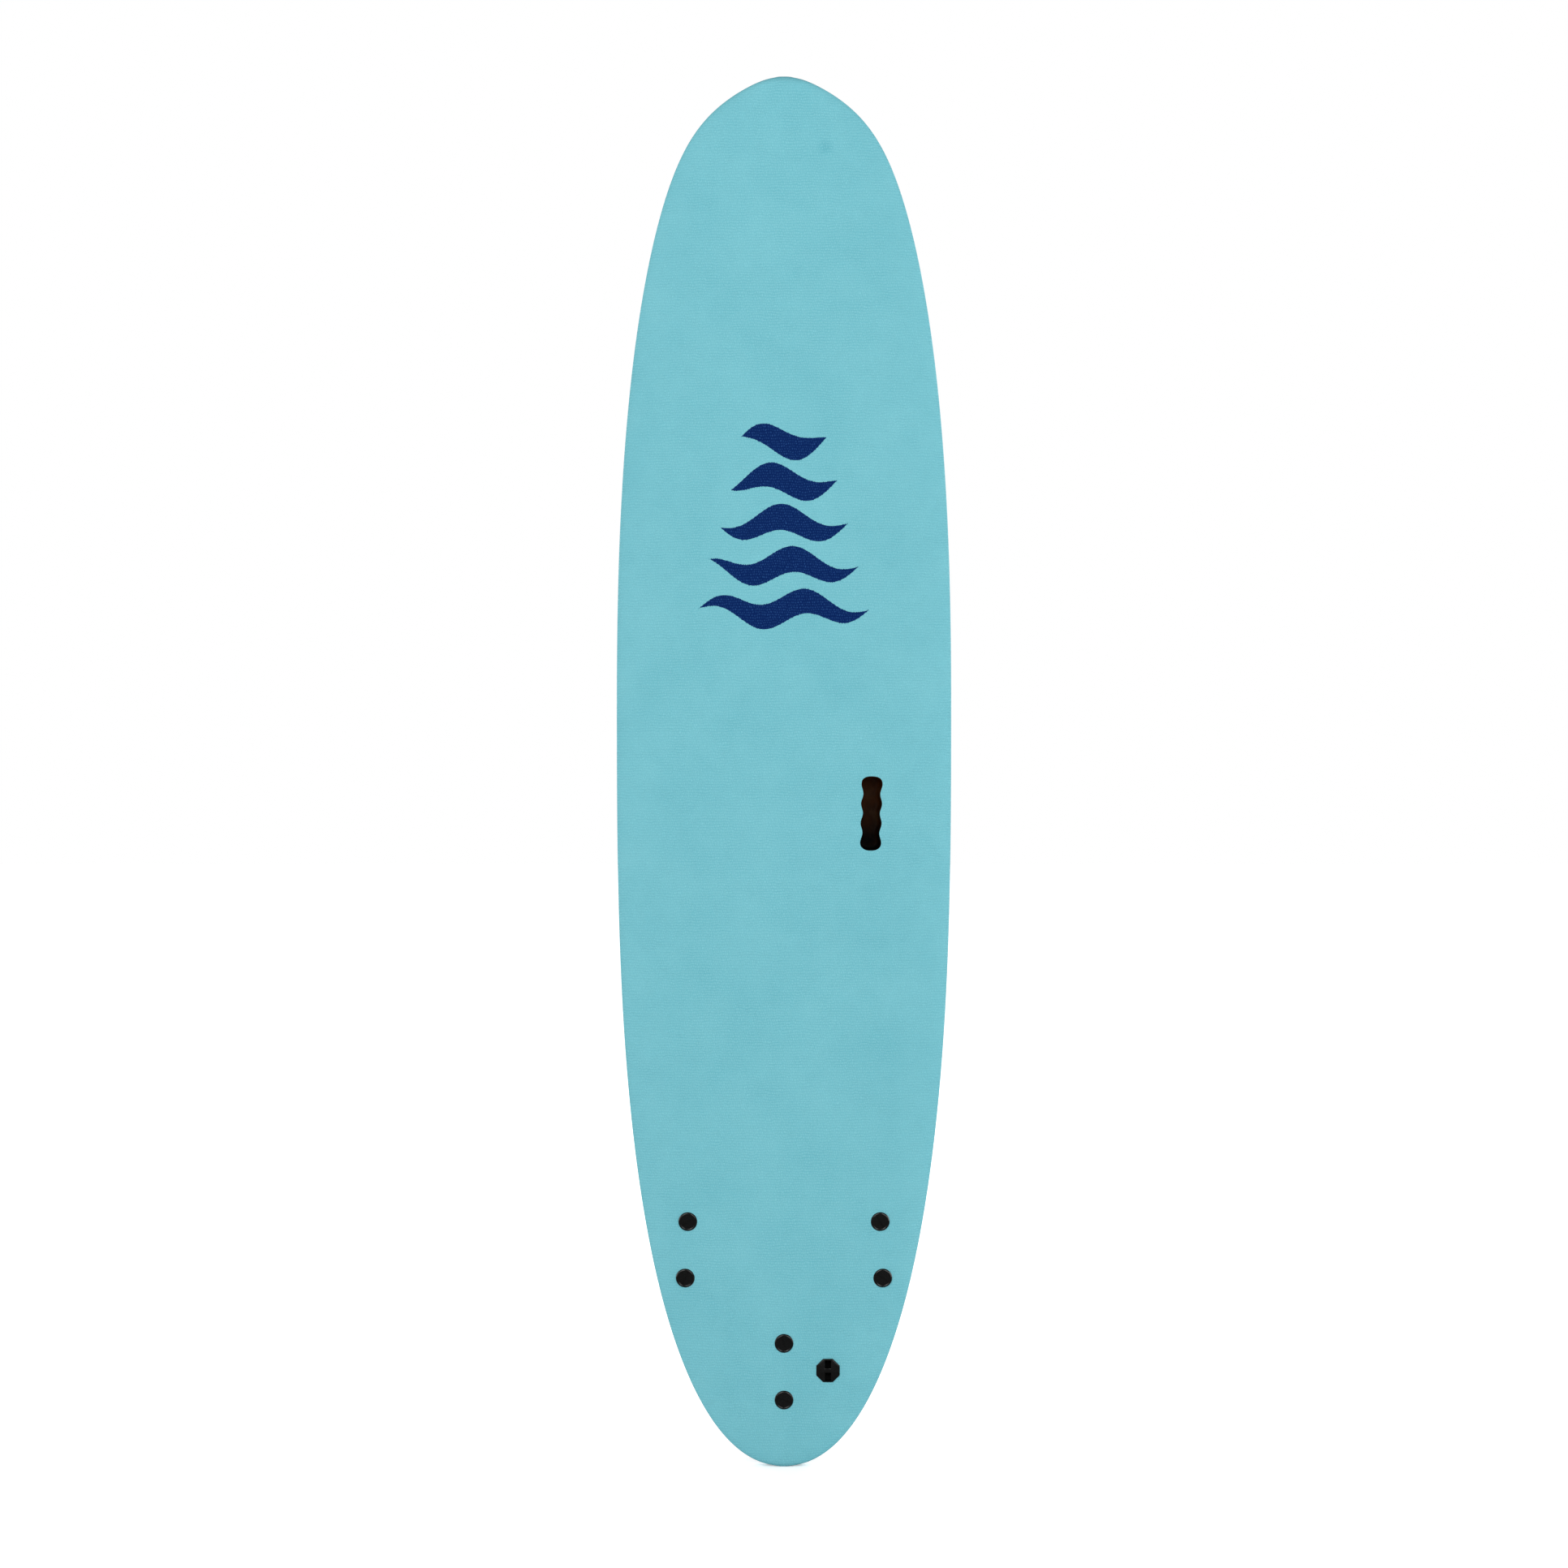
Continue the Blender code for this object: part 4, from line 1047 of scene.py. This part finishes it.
# leash plug: an octagon with two openings and a bar between them
plugShape = {
    "flats": 41.0 * mm, "proud": 2.0 * mm, "body": 13.0 * mm, "chamfer": 1.2 * mm, "post": 18.0 * mm,
    "bore": 10.6 * mm, "openWidth": 10.6 * mm, "openLength": 36.0 * mm, "openDepth": 11.0 * mm,
    "bar": 7.5 * mm, "barThick": 4.0 * mm, "grip": 14.0 * mm,
}
p = plugShape
plugEnd = bottomAt(leashSpot["z"]) - 3.2 * mm - deckAt(**leashSpot)
plugPlace = Matrix.Translation((leashSpot["x"], deckAt(**leashSpot), leashSpot["z"]))
head = [octagon(p["flats"], p["body"]), octagon(p["flats"], p["chamfer"] - p["proud"]),
        octagon(p["flats"] - 2 * p["chamfer"], -p["proud"])]
leashPlug = meshPiece("leashPlug", plugBlack, head)
reach, inner = p["openLength"] / 2, p["bar"] / 2
floor, under, above = p["openDepth"] - p["proud"], p["barThick"] - p["proud"], -p["proud"] - 10.0 * mm
outline = [(-reach, above), (-reach, floor), (reach, floor), (reach, above),
           (inner, above), (inner, under), (-inner, under), (-inner, above)]
sides = [[Vector((x, y, z)) for z, y in outline] for x in (-p["openWidth"] / 2, p["openWidth"] / 2)]
cutAway(leashPlug, meshPiece("plugOpening", None, sides))
softenEdges(leashPlug, 0.5 * mm)
post = meshPiece("plugPost", plugBlack, [
    circle(p["bore"] / 2, plugEnd - p["grip"]), circle(p["bore"] / 2, plugEnd),
    circle(p["post"] / 2, plugEnd), circle(p["post"] / 2, p["body"] - 0.5 * mm)])
step = leashPlug.modifiers.new("post", "BOOLEAN")
step.operation, step.solver, step.object = "UNION", "EXACT", post
plainMesh(leashPlug)
bpy.data.objects.remove(post)
# faces inside the openings take the darker copy: painted shade in the pocket
leashPlug.data.materials.append(plugPocketShade)
for face in leashPlug.data.polygons:
    spot = face.center
    sunk = spot.y > 1.0 * mm - p["proud"] and spot.y < floor + 0.2 * mm
    if sunk and abs(spot.x) < p["openWidth"] / 2 + 0.3 * mm and abs(spot.z) < reach + 0.3 * mm:
        face.material_index = 1
leashPlug.data.transform(plugPlace)
settle(leashPlug, "board", ["leash_plug"])


# handle cup: a scalloped pocket whose lip follows the deck
cupRings = [(handleShape["wall"], 44.0), (handleShape["wall"], 7.4), (handleShape["lip"], 5.8),
            (handleShape["lip"], 0.35), (0.5 * mm, -0.05), (0.3 * mm, -0.15), (0.1 * mm, 0.0),
            (0.0, 0.5), (0.0, 33.0), (-0.6 * mm, 36.5), (-2.0 * mm, 39.6), (-4.5 * mm, 41.5),
            (-8.0 * mm, 42.0)]
cupPlace = handlePlace(handleShape)
rings = []
for grow, level in cupRings:
    ring = [cupPlace @ point for point in scallopRing(handleShape, grow, level * mm)]
    fade = max(1 - level / 12, 0.0)
    base = [cupPlace @ point for point in scallopRing(handleShape, grow, 0.0)]
    rings.append([Vector((q.x, q.y + fade * (deckAt(b.x, b.z) - b.y), q.z)) for q, b in zip(ring, base)])
handleCup = meshPiece("handleCup", cupBrown, rings)
settle(handleCup, "board", ["handle_cup"], 50)


# inner pieces keep their solids and take a finish
innerFinish = {"core_": coreBeads, "stringer_": stringerPly, "fin_base_": coverBlack}
for name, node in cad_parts.items():
    for start, finish in innerFinish.items():
        if name.startswith(start):
            for slot in node.material_slots:
                slot.material = finish
print("inner pieces finished")


# floor, light and camera
studio = {
    "floorSize": 80.0, "floorLevel": 0.0, "floorGlow": 0.3, "fadeFrom": 1.5, "fadeOver": 5.0,
    "sky": 0.36, "mirrorSky": 0.10,
    "cameraAway": 5.4, "lens": 70.15, "cameraHeight": 1.204,
}
# name: place, aimed at, width, height, power in watts
softboxes = {
    "deckKey": ((-1.9, -4.9, 3.4), (0.0, 0.0, 1.5), 2.4, 3.0, 130.0),
    "deckFill": ((2.4, -5.0, 3.1), (0.0, 0.0, 1.3), 2.2, 3.0, 104.0),
    "railRight": ((4.7, 0.5, 2.0), (0.0, 0.0, 1.1), 1.8, 3.4, 82.0),
    "railLeft": ((-4.7, 0.5, 2.0), (0.0, 0.0, 1.1), 1.8, 3.4, 50.0),
    "bottomKey": ((3.6, 4.6, 3.4), (0.0, 0.0, 1.3), 2.4, 3.0, 175.0),
    "bottomFill": ((-3.8, 4.2, 2.4), (0.0, 0.0, 1.2), 2.2, 3.0, 125.0),
}


def makeFloor(d):
    half = d["floorSize"] / 2
    bm = bmesh.new()
    corners = ((-half, -half), (half, -half), (half, half), (-half, half))
    bm.faces.new([bm.verts.new((x, y, d["floorLevel"])) for x, y in corners])
    mesh = bpy.data.meshes.new("floor")
    bm.to_mesh(mesh)
    bm.free()
    material, tree, shader = newMaterial("paleFloor", Roughness=0.9, Specular_IOR_Level=0.0)
    place = objectPlace(tree)
    x, y, z = splitXyz(place)
    tone = noiseField(tree, place, 0.8, 2.0)
    plug(mixColour(tree, tone, (0.92, 0.92, 0.92, 1.0), (0.94, 0.94, 0.94, 1.0)), shader.inputs["Base Color"])
    far = between(((x * x + y * y) ** 0.5 - d["fadeFrom"]) / d["fadeOver"])
    seen = field(addNode(tree, "ShaderNodeLightPath"), "Is Camera Ray")
    shader.inputs["Emission Color"].default_value = (1.0, 1.0, 1.0, 1.0)
    plug(seen * (d["floorGlow"] + far * 0.6), shader.inputs["Emission Strength"])
    mesh.materials.append(material)
    floor = bpy.data.objects.new("floor", mesh)
    stage.collection.objects.link(floor)
    floor.visible_glossy = False


def makeSky(d):
    world = bpy.data.worlds.new("studio")
    world.use_nodes = True
    stage.world = world
    tree = world.node_tree
    tree.nodes.clear()
    path = addNode(tree, "ShaderNodeLightPath")
    seen, mirrored = field(path, "Is Camera Ray"), field(path, "Is Glossy Ray")
    soft = d["sky"] + mirrored * (d["mirrorSky"] - d["sky"])
    sky = addNode(tree, "ShaderNodeBackground", {
        "Color": (1.0, 1.0, 1.0, 1.0), "Strength": soft + seen * (1.0 - soft)})
    last = tree.nodes.new("ShaderNodeOutputWorld")
    tree.links.new(sky.outputs[0], last.inputs["Surface"])


def makeSoftbox(name, place, target, width, height, power):
    data = bpy.data.lights.new(name, "AREA")
    data.shape = "RECTANGLE"
    data.size, data.size_y, data.energy = width, height, power
    lamp = bpy.data.objects.new(name, data)
    lamp.location = place
    lamp.rotation_euler = (Vector(target) - Vector(place)).to_track_quat("-Z", "Y").to_euler()
    stage.collection.objects.link(lamp)


makeFloor(studio)
makeSky(studio)
for name, settings in softboxes.items():
    makeSoftbox(name, *settings)
cameraData = bpy.data.cameras.new("deckView")
cameraData.lens = studio["lens"]
cameraData.sensor_width = 36.0
camera = bpy.data.objects.new("deckView", cameraData)
camera.location = (0.0, -studio["cameraAway"], studio["cameraHeight"])
camera.rotation_euler = (math.pi / 2, 0.0, 0.0)
stage.collection.objects.link(camera)
stage.camera = camera
stage.view_settings.view_transform = "Standard"
print("studio ready")
